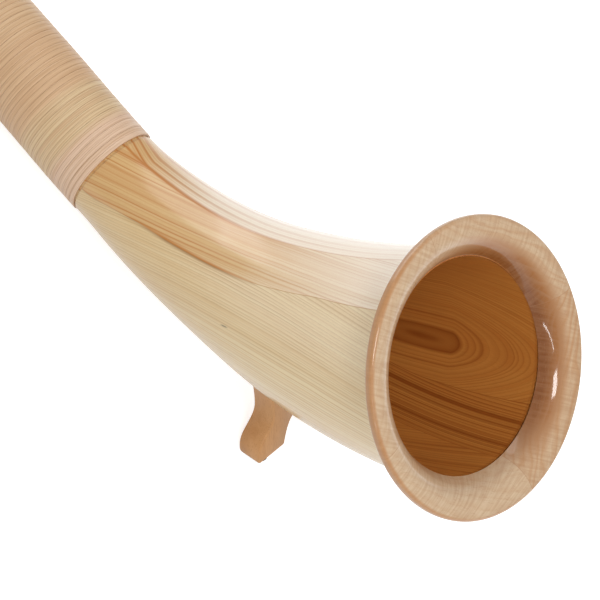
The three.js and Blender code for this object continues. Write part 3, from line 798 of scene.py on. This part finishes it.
PALE = srgb(226, 203, 160)
CREAM = srgb(231, 210, 163)
PALE_PAINTED_LIGHT = srgb(251, 240, 222)
STRAW = srgb(214, 186, 136)
HONEY = srgb(214, 175, 117)
AMBER = srgb(176, 120, 62)
AMBER_LINE = srgb(188, 118, 48)
LATE = srgb(164, 120, 68)
RESIN = srgb(78, 62, 22)
ORANGE = srgb(200, 134, 62)
ORANGE_DARK = srgb(142, 76, 26)
ORANGE_RED = srgb(176, 100, 38)
MAPLE = srgb(205, 180, 149)
MAPLE_AMBER = srgb(178, 126, 78)
MAPLE_SLOPE_SHADE = srgb(172, 114, 60)
MAPLE_FLARE_SHADE = srgb(130, 76, 34)
MAPLE_DARK = srgb(164, 118, 80)
CANE_PINK = srgb(233, 202, 176)
CANE_STRAW = srgb(224, 198, 156)
CANE_TAN = srgb(220, 184, 144)
CANE_TURN = srgb(206, 164, 124)
CANE_FIBRE = srgb(186, 142, 102)
CANE_COARSE = srgb(190, 146, 106)
CANE_GAP_SHADE = srgb(168, 122, 82)
BRASS = srgb(226, 186, 104)
BRASS_DARK = srgb(196, 148, 72)
RUBBER = srgb(16, 15, 15)
RUBBER_WORN = srgb(34, 33, 32)

# Directions of the boards' fibres and of their growth rings' planes.
ALONG_CHEEK = (-0.957, 0.135, 0.255)
ALONG_CORE = (-0.923, -0.048, 0.381)
ALONG_LEFT = (-0.924, 0, 0.381)
ALONG_INNER_RIGHT = (-0.92, -0.33, 0.22)
ALONG_TUBE = (-1, 0, 0.4)
CHEEK_NORMAL = (0.285, 0.581, 0.762)
NEAR_NORMAL = (0.177, 0.828, 0.532)
INNER_NORMAL = (-0.175, 0.813, 0.555)
LEFT_NORMAL = (0, 1, 0)
TUBE_NORMAL = (0.2, 0.9, 0.3)

# Pith of the far cheek: its rings close towards the mouth, low on the bell's inside.
PITH_STATION = 0.103
PITH_ANGLE = math.radians(118)
PITH_DEPTH = 0.030
PITH_LEAN = 0.13
PITH_DRIFT = (0.100, -1, 0.28)
CORE_DRIFT = (0.415, 1, -0.32)

# Bold years of each board, in millimetres from its own zero.
NEAR_MARKS = (
    (-12, 2.6, 0.5), (-7, 1.4, 0.75), (2, 1.8, 0.7), (11.8, 1.7, 0.9), (15.3, 1.0, 0.5),
    (18.4, 1.5, 0.85), (21.4, 1.0, 0.5), (24.2, 1.7, 0.95), (28.6, 1.3, 0.7), (39.2, 3.4, 1.0),
)
FAR_MARKS = ((1.6, 2.4, 1.0), (9, 2.2, 0.9), (18, 2.6, 0.9), (30.3, 3.0, 0.9), (40, 2, 0.5))
FAR_CHEEK_MARKS = ((-2.0, 5.0, 0.7, 0.85), (9.0, 1.5, 0.3))
INNER_MARKS = (
    (5, 1.2, 0.5), (11.5, 2.0, 0.6), (16, 3.6, 1.0), (22, 1.5, 0.4), (28, 0.9, 0.3), (34, 2.6, 0.7), (39.5, 3.6, 1.0),
)
INNER_NEAR_MARKS = ((-70, 1.2, 0.6), (-60, 1.5, 0.8), (-54, 1.0, 0.5), (-44, 1.4, 0.6))


def near_pith():
    """Point and direction of the far cheek's pith, which comes nearer to the bore further in."""
    x, z = point_at(PITH_STATION)
    turn = float(turn_at(np.array(PITH_STATION)))
    rise = math.cos(PITH_ANGLE)
    out = np.array((rise * math.sin(turn), math.sin(PITH_ANGLE), rise * math.cos(turn)))
    inwards = np.array((-math.cos(turn), 0, math.sin(turn)))
    reach = float(bore_radius(PITH_STATION)) + PITH_DEPTH
    return inwards - out * PITH_LEAN, out, np.array((float(x), 0, float(z))) + out * reach


pith_fibre, pith_normal, pith_place = near_pith()
boards = {
    "core_right": Board(ALONG_CORE, NEAR_NORMAL, 0.0030, 2.7, NEAR_MARKS),
    "core_left": Board(ALONG_LEFT, LEFT_NORMAL, 0.0036, 1.3, FAR_MARKS, drift=CORE_DRIFT),
    "cheek_right": Board(ALONG_CHEEK, CHEEK_NORMAL, 0.0026, 5.9),
    "cheek_left": Board(
        pith_fibre, pith_normal, 0.0026, 4.1, FAR_CHEEK_MARKS, 0.0008, pith_place, PITH_DEPTH, PITH_DRIFT),
    "inner_core_left": Board(ALONG_LEFT, LEFT_NORMAL, 0.0022, 6.3, INNER_MARKS, 0.0008),
    "inner_core_right": Board(ALONG_INNER_RIGHT, INNER_NORMAL, 0.0034, 8.8, INNER_NEAR_MARKS),
    "tube": Board(ALONG_TUBE, TUBE_NORMAL, 0.0028, 2.2),
}
# Early wood, late wood and warmer tone of the lacquered outside and of the stained bore.
CORE_TONES = (PALE, AMBER_LINE, HONEY)
CHEEK_TONES = (CREAM, LATE, HONEY)
STAIN = (ORANGE, ORANGE_DARK, ORANGE_RED)
bell_wood = {
    "core_left": spruce("core_left", boards["core_left"], *CORE_TONES, 0.55, 0.95, 0.8, (0.43, 0.33)),
    "core_right": spruce("core_right", boards["core_right"], *CORE_TONES, 0.7, 0.75, 0.85, (0.24, 0.05)),
    "cheek_left": spruce("cheek_left", boards["cheek_left"], *CHEEK_TONES, 0.9),
    "cheek_right": spruce("cheek_right", boards["cheek_right"], *CHEEK_TONES, 0.65, winding=0.3, streak=True),
}
bell_stain = {
    part: spruce(f"inner_{part}", boards[board], *STAIN, lines, bold, shaded=True)
    for part, board, lines, bold in (
        ("core_left", "inner_core_left", 1.0, 1.0), ("core_right", "inner_core_right", 0.6, 0.7),
        ("cheek_left", "cheek_left", 0.5, 0.8), ("cheek_right", "cheek_right", 0.6, 0.8),
    )
}
tube_wood = spruce("tube_wood", boards["tube"], STRAW, AMBER, HONEY, 0.5)
bore_wood = spruce("bore_wood", boards["tube"], *STAIN, 0.5)
finishes = {
    "maple": close_grained(
        "maple_ring", srgb(221, 190, 158), srgb(198, 156, 116), srgb(176, 130, 92), 9, 0.24, 0.9, 0.35),
    "beech": close_grained(
        "beech_foot", srgb(208, 157, 106), srgb(191, 137, 86), srgb(160, 108, 62), 7, 0.4, 0.2, 0.0, 5.0),
    "pearwood": close_grained(
        "pear_mouthpiece", srgb(150, 96, 62), srgb(122, 72, 44), srgb(90, 50, 30), 12, 0.28, 0.5),
    "cane": cane_material(),
    "brass": brass_material(),
    "rubber": rubber_material(),
}


def dress(piece, body, slot, *nodes):
    return fit(paint(piece, finishes[slot]), body, slot, *nodes)


def half_tube(name, stations, hand, angles=SIDES // 2):
    """Half of a hollow tube split on the plane of the bend; its bore's faces take the second material."""
    s, outer, inner = (np.array(v, float) for v in zip(*stations))
    grid_s, grid_a = np.meshgrid(s, hand * np.pi * np.arange(angles + 1) / angles, indexing="ij")
    points, grain = [], []
    for radius in (outer[:, None], inner[:, None]):
        spot = surface(grid_s, radius, grid_a)
        spot[:, (0, -1), 1] = 0
        points.append(spot.reshape(-1, 3))
        grain.append(grain_at(grid_s, radius * np.cos(grid_a), radius * np.sin(grid_a)).reshape(-1, 3))
    rows, columns = len(s), angles + 1
    shift = rows * columns
    outside, inside = lattice(rows, columns), lattice(rows, columns, first=shift)

    def strip(first, second):
        return np.stack([first, second, second + shift, first + shift], -1)

    along, ring = np.arange(rows - 1) * columns, np.arange(angles)
    seams = [strip(along + edge, along + columns + edge) for edge in (0, angles)]
    ends = [strip(end + ring, end + ring + 1) for end in (0, (rows - 1) * columns)]
    faces = np.concatenate([outside, *seams, *ends, inside])
    piece = new_piece(name, np.concatenate(points), faces, np.concatenate(grain))
    bored = np.zeros(len(faces), np.int32)
    bored[-len(inside):] = 1
    mouth_end = len(outside) + 2 * (rows - 1)
    bored[mouth_end:mouth_end + angles] = 1
    piece.data.polygons.foreach_set("material_index", bored)
    return face_out(piece)


def cheek_seam(s):
    """How far to the side the cheek's glue line runs, read from the photo."""
    return through(SEAM_STATIONS, SEAM_SIDES, np.clip(s, SEAM_STATIONS[0], SEAM_STATIONS[-1] - 1e-6))


def cut_on_cheek_seam(whole, name, hand, keep_core):
    """A copy of the half bell on one side of the cheek's glue line, which is cut flat and then bent to its course."""
    bm = bmesh.new()
    bm.from_mesh(whole.data)
    bm.verts.ensure_lookup_table()
    side = 1 if keep_core else -1
    grain = bm.verts.layers.float_vector["grain"]
    scale = CHEEK_PLANE / cheek_seam([v[grain].x for v in bm.verts])
    for vertex, share in zip(bm.verts, scale):
        vertex.co.y *= share
        vertex[grain].z *= share
    cut = bmesh.ops.bisect_plane(
        bm, geom=bm.verts[:] + bm.edges[:] + bm.faces[:], dist=1e-7, plane_co=(0, hand * CHEEK_PLANE, 0),
        plane_no=(0, hand * side, 0), clear_outer=True)
    rim = [e for e in cut["geom_cut"] if isinstance(e, bmesh.types.BMEdge)]
    bmesh.ops.triangle_fill(bm, edges=rim, use_beauty=True)
    scale = cheek_seam([v[grain].x for v in bm.verts]) / CHEEK_PLANE
    for vertex, share in zip(bm.verts, scale):
        vertex.co.y *= share
    bmesh.ops.recalc_face_normals(bm, faces=bm.faces)
    mesh = bpy.data.meshes.new(name)
    bm.to_mesh(mesh)
    bm.free()
    soften(mesh)
    return link(mesh, name)


def tube_row(s, wood_at=None, bore=None):
    """Station, outer radius and bore; wood_at reads the radii elsewhere, and bore is a pocket's own radius."""
    at = s if wood_at is None else wood_at
    return s, float(wood_radius(at)), float(bore_radius(at)) if bore is None else bore


def bell_rows():
    mouth = np.linspace(RING_SEAT + SEAT_GAP / 6, WINDING_START - EDGE, BELL_ROWS)
    under = np.linspace(WINDING_START, TUBE_START, RECESS_ROWS)
    return [tube_row(s) for s in mouth] + [tube_row(s, s + EDGE, float(bore_radius(s))) for s in under]


def joint_sizes(station):
    """Bore, tenon and both radii of the bush."""
    bore = float(bore_radius(station))
    tenon = bore + TENON_WALL
    return bore, tenon, tenon + SLIP_FIT, tenon + SLIP_FIT + BUSH_WALL


def pocket_rows(start, end, pocket):
    return [tube_row(start - EDGE, start), tube_row(start, bore=pocket), tube_row(end, bore=pocket)]


def socket_rows(station):
    return pocket_rows(station - BUSH_DEPTH - SEAT_GAP, station, joint_sizes(station)[3] + SLIP_FIT)


def tenon_rows(station):
    pocket = joint_sizes(station)[1] + SLIP_FIT
    start, end = station + SEAT_GAP, station + TENON_EMBED + SEAT_GAP
    return [tube_row(start, bore=pocket), tube_row(end, bore=pocket), tube_row(end + EDGE, end)]


def make_bell():
    for side, hand in (("left", 1), ("right", -1)):
        whole = half_tube(f"whole_{side}", bell_rows(), hand)
        for part, keep_core in (("core", True), ("cheek", False)):
            piece = cut_on_cheek_seam(whole, f"shown_bell_{part}_{side}", hand, keep_core)
            paint(piece, bell_wood[f"{part}_{side}"], bell_stain[f"{part}_{side}"])
            fit(piece, "bell_section", "spruce", f"bell_{part}_{side}")
        bpy.data.objects.remove(whole)


def make_tube(section, lower_rows, upper_rows):
    rows = [*lower_rows, *map(tube_row, TUBE_STATIONS[section]), *upper_rows]
    for side, hand in (("left", 1), ("right", -1)):
        piece = half_tube(f"shown_{section}_tube_{side}", rows, hand, SIDES // 4)
        paint(piece, tube_wood, bore_wood)
        fit(piece, f"{section}_section", "spruce", f"{section}_tube_{side}")


def make_tubes():
    make_tube("bell", [tube_row(TUBE_START + GLUE_LINE)], socket_rows(BELL_TOP))
    make_tube("middle", tenon_rows(BELL_TOP), socket_rows(MIDDLE_TOP))
    receiver = pocket_rows(HAND_TOP - RECEIVER_DEPTH - SEAT_GAP, HAND_TOP, RECEIVER_RADIUS + SLIP_FIT)
    make_tube("hand", tenon_rows(MIDDLE_TOP), receiver)


def rounded(outline, radius, steps=3):
    """The closed outline with its corners cut by small arcs; a corner's third value is its own radius."""
    made = []
    for i, (*corner, own) in enumerate([(*c[:2], c[2] if len(c) > 2 else radius) for c in outline]):
        corner = np.array(corner, float)
        before = np.array(outline[i - 1][:2], float) - corner
        after = np.array(outline[(i + 1) % len(outline)][:2], float) - corner
        lengths = np.linalg.norm(before), np.linalg.norm(after)
        cut = min(own, lengths[0] * 0.45, lengths[1] * 0.45)
        made.append(quadratic(corner + before / lengths[0] * cut, corner, corner + after / lengths[1] * cut, steps))
    return np.concatenate(made)


def turned(node, body, slot, outline, rounding):
    """A piece turned round the straight tube's axis from an outline of radius and station."""
    shape = rounded(outline, rounding)
    angle = circle(TURNED_SIDES)
    radius, station = shape[:, 0][:, None], shape[:, 1][:, None]
    grain = grain_at(station, radius * np.cos(angle), radius * np.sin(angle)).reshape(-1, 3)
    faces = lattice(len(shape), TURNED_SIDES, wrap_rows=True, wrap_columns=True)
    piece = new_piece(f"shown_{node}", surface(station + 0 * angle, radius, angle), faces, grain, TURNED_SHARP)
    dress(face_out(piece), body, slot, node)


def end_ring(node, body, start, end, top=None):
    """Turned ring: a soft barrel with a bead at each edge."""
    top = top or float(wood_radius(start)) + END_RING_THICKNESS
    barrel = (end - start) * BARREL_SHARE
    turned(node, body, "maple", [
        (float(wood_radius(start)) + SLIP_FIT, start), (float(wood_radius(end)) + SLIP_FIT, end),
        *((top - down * BEAD_STEP, end - along * BEAD_STEP) for down, along in BEAD),
        (top, end - barrel), (top, start + barrel),
        *((top - down * BEAD_STEP, start + along * BEAD_STEP) for down, along in reversed(BEAD)),
    ], RING_ROUNDING)


def sleeve(inner, outer, low, high):
    return [(inner, low), (inner, high), (outer, high), (outer, low)]


def make_joint(station, lower, upper):
    """Slip joint of two sections: both end rings, the socket's bush, the tenon and its two seals."""
    bore, tenon, bush_in, bush_out = joint_sizes(station)
    lower_body, upper_body = f"{lower}_section", f"{upper}_section"
    start = station + SEAT_GAP
    end_ring(f"{lower}_socket_ring", lower_body, station - END_RING_LENGTH, station)
    end_ring(f"{upper}_lower_ring", upper_body, start, start + END_RING_LENGTH)
    bush = sleeve(bush_in, bush_out, station - BUSH_DEPTH, station)
    turned(f"{lower}_socket_bush", lower_body, "brass", bush, BUSH_ROUNDING)
    low, high = station - TENON_INSERTION, station + TENON_EMBED
    groove, half = tenon - SEAL_DEPTH, SEAL_WIDTH / 2 + SLIP_FIT
    places = (low + SEAL_FROM_END, low + SEAL_FROM_END + SEAL_SPACING)
    outline = [(bore, high), (bore, low), (tenon, low, TENON_TIP_ROUNDING)]
    for place in places:
        outline += [(tenon, place - half, GROOVE_EDGE_ROUNDING), (groove, place - half, GROOVE_FOOT_ROUNDING)]
        outline += [(groove, place + half, GROOVE_FOOT_ROUNDING), (tenon, place + half, GROOVE_EDGE_ROUNDING)]
    turned(f"{upper}_tenon", upper_body, "brass", [*outline, (tenon, high)], BRASS_ROUNDING)
    edge = SEAL_WIDTH / 2
    for word, place in zip(("lower", "upper"), places):
        seal = sleeve(groove + SLIP_FIT / 2, bush_in - SLIP_FIT / 2, place - edge, place + edge)
        turned(f"{upper}_seal_{word}", upper_body, "rubber", seal, SEAL_ROUNDING)


def make_top():
    """Top ring, the receiver in it and the mouthpiece."""
    end_ring("hand_top_ring", "hand_section", HAND_TOP - TOP_RING_LENGTH, HAND_TOP, TOP_RING_RADIUS)
    bottom, shank_tip = HAND_TOP - RECEIVER_DEPTH, HAND_TOP - SHANK_DEPTH
    tip, root = SHANK_TIP_RADIUS + SLIP_FIT, SHANK_ROOT_RADIUS + SLIP_FIT
    turned("mouthpiece_receiver", "hand_section", "brass", [
        (tip, bottom), (tip, shank_tip), (root, HAND_TOP), (RECEIVER_RADIUS, HAND_TOP), (RECEIVER_RADIUS, bottom),
    ], BRASS_ROUNDING)
    base = HAND_TOP + SEAT_GAP
    turned("mouthpiece", "mouthpiece", "pearwood", [
        (BACKBORE_RADIUS, shank_tip), (SHANK_TIP_RADIUS, shank_tip),
        (SHANK_ROOT_RADIUS, HAND_TOP), (SHANK_ROOT_RADIUS, base),
        *((radius, base + height, own) for radius, height, own in MOUTHPIECE_STEM),
        *((radius, base + MOUTHPIECE_LENGTH + height, own) for radius, height, own in MOUTHPIECE_RIM),
    ], MOUTHPIECE_ROUNDING)


def ring_outline():
    """Section of the mouth ring as (x, radius), from its back edge round the outside to the inner joint."""
    back = float(wood_radius(RING_DEPTH)) + RING_BACK_GAP
    edge = back + RING_BACK_EDGE
    collar = [
        (-RING_DEPTH, back + COLLAR_INNER_CHAMFER), (-RING_DEPTH, edge - COLLAR_CHAMFER),
        (-RING_DEPTH + COLLAR_CHAMFER, edge),
    ]
    bend = (-RING_DEPTH / 3, edge + RING_ARRIS / 2)
    cove = quadratic(collar[-1], bend, (-RING_RIM_BACK - COVE_END[0], RING_RADIUS - COVE_END[1]), 12)
    heel = quadratic(cove[-1], (-RING_RIM_BACK, RING_RADIUS), (-RING_RIM_BACK + HEEL_LENGTH, RING_RADIUS), 5)
    corner = (RING_FRONT - RING_PULL, RING_RADIUS - RING_PULL)
    arris = quadratic((RING_FRONT - RING_ARRIS, RING_RADIUS), corner, (RING_FRONT, RING_RADIUS - RING_ARRIS), 8)
    face = smooth_line([(x, r) for r, x in RING_FACE], 6)
    return np.concatenate([collar, cove[1:], heel[1:], arris, face[1:]])


def make_ring():
    """Mouth ring of four glued segments, each with straight grain, bored to the bell's own surface."""
    x, free_radius = ring_outline().T
    seat_s = np.linspace(RING_SEAT + RING_SEAT_STEP, RING_DEPTH, 6)
    radius = np.concatenate([free_radius, wood_radius(seat_s)])
    flare = np.concatenate([np.arange(len(x)) > x.argmax(), 0 * seat_s])
    per, columns = SIDES // RING_SEGMENTS, len(radius)
    points, grain, faces = [], [], []
    for part in range(RING_SEGMENTS):
        start = RING_FIRST_JOINT + 2 * np.pi * part / RING_SEGMENTS
        angle = (start + 2 * np.pi / RING_SEGMENTS * np.arange(per + 1) / per)[:, None]
        free = to_row(x[None], free_radius[None] * np.sin(angle), free_radius[None] * np.cos(angle))
        seat = surface(seat_s[None] + 0 * angle, wood_radius(seat_s)[None] + RING_SEAT_GAP, angle)
        points.append(np.concatenate([free, seat], 1).reshape(-1, 3))
        turn = angle - (start + np.pi / RING_SEGMENTS)
        along = radius * np.sin(turn) + SEGMENT_SHIFT * part
        grain.append(np.stack([along, radius * np.cos(turn), flare + 0 * turn], -1).reshape(-1, 3))
        faces += capped(per + 1, columns, part * (per + 1) * columns)
    piece = new_piece("shown_rim_ring", np.concatenate(points), faces, np.concatenate(grain), RING_SHARP)
    paint(face_out(piece), ring_maple())
    fit(piece, "bell_section", "maple", "rim_ring")


def smooth_noise(count, every, seed):
    """Seeded noise from -1 to 1 that changes slowly along a strip."""
    rng = np.random.default_rng(seed)
    knots = rng.uniform(-1, 1, count // every + 3)
    return np.interp(np.arange(count) / every, np.arange(len(knots)), knots)


def make_cane(section, start, end, seed, *nodes):
    """One strip of cane laid turn by turn from start to end."""
    count = int((end - start - CANE_WIDTH) / CANE_PITCH * CANE_STEPS) + 1
    step = np.arange(count)
    sway = smooth_noise(count, CANE_STEPS // 2, seed) * CANE_SWAY
    swell = smooth_noise(count, CANE_STEPS // 3, seed + 1) * CANE_SWELL
    station = start + CANE_WIDTH / 2 + CANE_PITCH * step / CANE_STEPS + sway
    angle = np.pi + 2 * np.pi * step / CANE_STEPS
    around, foot = np.radians(CANE_ROUND_DEGREES), CANE_WIDTH * CANE_FOOT_SHARE
    across = np.concatenate([CANE_WIDTH / 2 * np.cos(around), [foot, -foot]])
    bulge = CANE_EDGE_SHARE + (1 - CANE_EDGE_SHARE) * np.sin(around) ** CANE_BULGE_POWER
    height = np.concatenate([CANE_THICKNESS * bulge, [0, 0]])
    s = station[:, None] + across[None]
    radius = wood_radius(np.maximum(station, WINDING_START + EDGE))[:, None] + CANE_LIFT + height[None]
    radius = radius + swell[:, None] * (height[None] > 0)
    run = np.cumsum(np.full(count, 2 * np.pi / CANE_STEPS) * radius[:, len(around) // 2])
    grain = np.stack([run[:, None] + 0 * s, across[None] + 0 * s, s], -1).reshape(-1, 3)
    points = surface(s, radius, angle[:, None])
    piece = new_piece(f"shown_{section}_winding", points, capped(count, len(across)), grain, CANE_SHARP)
    dress(face_out(piece), f"{section}_section", "cane", *nodes)


def make_windings():
    bell_end, middle_end = (top - END_RING_LENGTH - CANE_END_GAP for top in (BELL_TOP, MIDDLE_TOP))
    middle_start, hand_start = (top + END_RING_LENGTH + CANE_RING_GAP for top in (BELL_TOP, MIDDLE_TOP))
    hand_end = HAND_TOP - TOP_RING_LENGTH - CANE_END_GAP
    make_cane("bell", WINDING_START + CANE_END_GAP, bell_end, 11, "bell_winding_cane", "bell_winding_upper")
    make_cane("middle", middle_start, middle_end, 21, "middle_winding")
    make_cane("hand", hand_start, hand_end, 31, "hand_winding")


def foot_frame():
    """The foot stands upright when the horn is played: its x forward, z up, origin at its soles."""
    low = surface(FOOT_STATION, float(wood_radius(FOOT_STATION)), np.pi)
    forward = row_vector(math.cos(PLAYING_ANGLE), 0, -math.sin(PLAYING_ANGLE))
    up = row_vector(math.sin(PLAYING_ANGLE), 0, math.cos(PLAYING_ANGLE))
    origin = Vector(low) - up * FOOT_DROP
    return Matrix(((forward.x, 0, up.x, origin.x), (0, 1, 0, 0), (forward.z, 0, up.z, origin.z), (0, 0, 0, 1)))


def foot_outline():
    """Half of the foot seen from the front, as (y, z), from its arch round to its middle above the bell's wall."""
    top = FOOT_DROP + FOOT_OVER_WALL
    return np.concatenate([
        [(0, 0.033)],
        bezier((0, 0.033), (0.009, 0.033), (0.0140, 0.0198), (0.0175, 0.0030), 14),
        bezier((0.0175, 0.0030), (0.0180, 0.0010), (0.0190, 0), (0.0210, 0), 5),
        [(0.030, 0), (0.042, 0)],
        bezier((0.0510, 0), (0.0536, 0), (0.0549, 0.0024), (0.0549, 0.0098), 8),
        bezier((0.0549, 0.0098), (0.0549, 0.0309), (0.0328, 0.0309), (0.0328, 0.052), 18),
        bezier((0.0328, 0.052), (0.0328, 0.066), (0.0345, 0.077), (0.0385, top), 10),
        [(0.02, top), (0, top)],
    ])


def foot_board(place):
    """The board of the foot with rounded edges, uncut."""
    half = foot_outline()
    loop = np.concatenate([half, half[-2:0:-1] * (-1, 1)])
    after = np.roll(loop, -1, 0) - np.roll(loop, 1, 0)
    normal = np.stack([after[:, 1], -after[:, 0]], -1)
    normal /= np.linalg.norm(normal, axis=1)[:, None]
    rounding = quadratic((0, FOOT_ROUNDING), (FOOT_ROUNDING * 0.3,) * 2, (FOOT_ROUNDING, 0), 6)
    back = [(depth - FOOT_DEPTH / 2, inset) for depth, inset in rounding]
    layers = sorted(back + [(-x, inset) for x, inset in back])
    flats = [loop - normal * inset for _, inset in layers]
    points = np.concatenate([np.insert(flat, 0, x, 1) for (x, _), flat in zip(layers, flats)])
    world = np.array([place @ Vector(p) for p in points])
    faces, grain = capped(len(layers), len(loop)), points[:, (2, 1, 0)]
    return face_out(new_piece("shown_bell_foot", world, faces, grain, TURNED_SHARP))


def bell_cutter():
    """Solid filled from the bell's outside, to cut the foot's saddle."""
    s = np.linspace(FOOT_STATION - SADDLE_REACH, FOOT_STATION + SADDLE_REACH, 40)
    angle = circle(SIDES)
    points = surface(s[:, None] + 0 * angle, wood_radius(s)[:, None] + SADDLE_GAP, angle)
    return face_out(new_piece("cutter", points, capped(len(s), SIDES)))


def make_foot():
    place = foot_frame()
    board, cutter = foot_board(place), bell_cutter()
    cut = board.modifiers.new("saddle", "BOOLEAN")
    cut.object, cut.operation, cut.solver = cutter, "DIFFERENCE", "EXACT"
    bpy.context.view_layer.update()
    mesh = bpy.data.meshes.new_from_object(board.evaluated_get(bpy.context.evaluated_depsgraph_get()))
    board.modifiers.clear()
    board.data = mesh
    soften(mesh, TURNED_SHARP)
    bpy.data.objects.remove(cutter)
    dress(board, "bell_section", "beech", "bell_foot")
    for side, y in (("left", PAD_OFFSET), ("right", -PAD_OFFSET)):
        make_pad(f"foot_pad_{side}", y, place)


def make_pad(node, y, place):
    disc = [(PAD_HOLE, 0), (PAD_TOP_RADIUS, 0), (PAD_RADIUS, -PAD_THICKNESS), (PAD_HOLE, -PAD_THICKNESS)]
    radius, height = rounded(disc, PAD_ROUNDING, 5).T[:, :, None]
    angle = circle(PAD_SIDES)
    x, z = FOOT_DEPTH / 2 - PAD_INSET, -SEAT_GAP
    local = np.stack([x + radius * np.cos(angle), y + radius * np.sin(angle), z + height + 0 * angle], -1)
    world = np.array([place @ Vector(p) for p in local.reshape(-1, 3)])
    piece = new_piece(f"shown_{node}", world, lattice(len(radius), PAD_SIDES, True, True), None, RING_SHARP)
    dress(face_out(piece), "bell_section", "rubber", node)


def finish_hidden_nodes():
    for side in ("left", "right"):
        dowel = frame["nodes"][f"foot_dowel_{side}"]
        paint(dowel, tube_wood)


# Camera at the photograph's place: offsets from the rim centre along the rim's axis, to the side and up the bend.
PICTURE_WIDTH_PX = 600
FOCAL_PX = 1661.1
SENSOR_MM = 36.0
CLIP_RANGE = (0.05, 50)
CAMERA_PLACE = (0.91725, -0.79962, 0.59840)
CAMERA_RIGHT = (0.65469, 0.66862, -0.35260)
CAMERA_UP = (-0.05684, 0.50868, 0.85907)

# Floor: how bright the camera sees it, and how bright its mirror image is from the near side to the far side.
FLOOR_SIZE = 30.0
FLOOR_SEEN = 0.7
FLOOR_MIRRORED = ((0.0, 0.22), (1.0, 0.5))
FLOOR_MIRROR_EDGE = (-0.05, 0.15)
WORLD_LIGHT = 0.43
WORLD_SEEN = 1.0
# Lights: azimuth and elevation in degrees, distance, size, power and the station they face. The first isn't mirrored.
LIGHTS = (
    ("front_softbox", -20, 62, 1.9, (2.6, 2.6), 24, 0.0),
    ("key_window", -70, 67, 1.4, (0.24, 0.40), 5, 0.0),
    ("strip_light", -68, 27, 1.4, (0.06, 0.75), 2, 0.0),
    ("back_softbox", 165, 28, 6.0, (3.44, 3.6), 74, 0.33),
    ("low_softbox", 163, 5, 6.0, (3.6, 1.6), 50, 0.12),
)


def make_camera():
    data = bpy.data.cameras.new("camera")
    data.sensor_width = SENSOR_MM
    data.lens = SENSOR_MM * FOCAL_PX / PICTURE_WIDTH_PX
    data.clip_start, data.clip_end = CLIP_RANGE
    camera = link(data, "camera")
    right = row_vector(*CAMERA_RIGHT).normalized()
    up = row_vector(*CAMERA_UP)
    up = (up - right * up.dot(right)).normalized()
    place = Vector(RIM_CENTRE) + row_vector(*CAMERA_PLACE)
    camera.matrix_world = Matrix.Translation(place) @ Matrix((right, up, right.cross(up))).transposed().to_4x4()
    bpy.context.scene.camera = camera


def make_stage():
    """White floor that keeps the shadow."""
    mesh = bpy.data.meshes.new("floor")
    corners = [(x * FLOOR_SIZE, y * FLOOR_SIZE, 0) for x, y in ((-1, -1), (1, -1), (1, 1), (-1, 1))]
    mesh.from_pydata(corners, [], [(0, 1, 2, 3)])
    sh = Shader("pale_floor")
    sh.finish(srgb(236, 236, 236), 0.9, specular=0.0)
    path = sh.node("ShaderNodeLightPath")
    mirrored = sh.math("MAXIMUM", path.outputs["Is Glossy Ray"], path.outputs["Is Transmission Ray"])
    seen = sh.multiply(path.outputs["Is Camera Ray"], FLOOR_SEEN)
    far_side = sh.rescale(sh.split(sh.object_place())[1], *FLOOR_MIRROR_EDGE)
    seen = sh.math("MAXIMUM", seen, sh.multiply(mirrored, sh.ramp(far_side, *FLOOR_MIRRORED)))
    sh.bsdf.inputs["Emission Color"].default_value = (1, 1, 1, 1)
    sh.put(sh.bsdf.inputs["Emission Strength"], seen)
    paint(link(mesh, "floor"), sh.material)


def make_world():
    """Even light, seen as white by the camera."""
    world = bpy.data.worlds.new("studio")
    bpy.context.scene.world = world
    world.use_nodes = True
    nodes, links = world.node_tree.nodes, world.node_tree.links
    background, path, strength = nodes["Background"], nodes.new("ShaderNodeLightPath"), nodes.new("ShaderNodeMapRange")
    background.inputs["Color"].default_value = (1, 1, 1, 1)
    strength.inputs["To Min"].default_value = WORLD_LIGHT
    strength.inputs["To Max"].default_value = WORLD_SEEN
    links.new(path.outputs["Is Camera Ray"], strength.inputs["Value"])
    links.new(strength.outputs["Result"], background.inputs["Strength"])


def softbox(name, azimuth, elevation, distance, size, power, station):
    """Area light at an azimuth and elevation seen from a station of the bell, and facing it."""
    data = bpy.data.lights.new(name, "AREA")
    data.shape = "RECTANGLE"
    data.size, data.size_y = size
    data.energy = power
    az, el = math.radians(azimuth), math.radians(elevation)
    bell = Vector(surface(station, 0, 0))
    lamp = link(data, name)
    lamp.location = bell + Vector((math.cos(el) * math.cos(az), math.cos(el) * math.sin(az), math.sin(el))) * distance
    lamp.rotation_mode = "QUATERNION"
    lamp.rotation_quaternion = (bell - lamp.location).to_track_quat("-Z", "Y")
    return lamp


def make_lights():
    make_world()
    for light in LIGHTS:
        softbox(*light).visible_glossy = light is not LIGHTS[0]


make_bell()
make_tubes()
make_joint(BELL_TOP, "bell", "middle")
make_joint(MIDDLE_TOP, "middle", "hand")
make_top()
make_ring()
make_windings()
make_foot()
finish_hidden_nodes()
make_stage()
make_camera()
make_lights()
bpy.context.scene.view_settings.view_transform = "Standard"
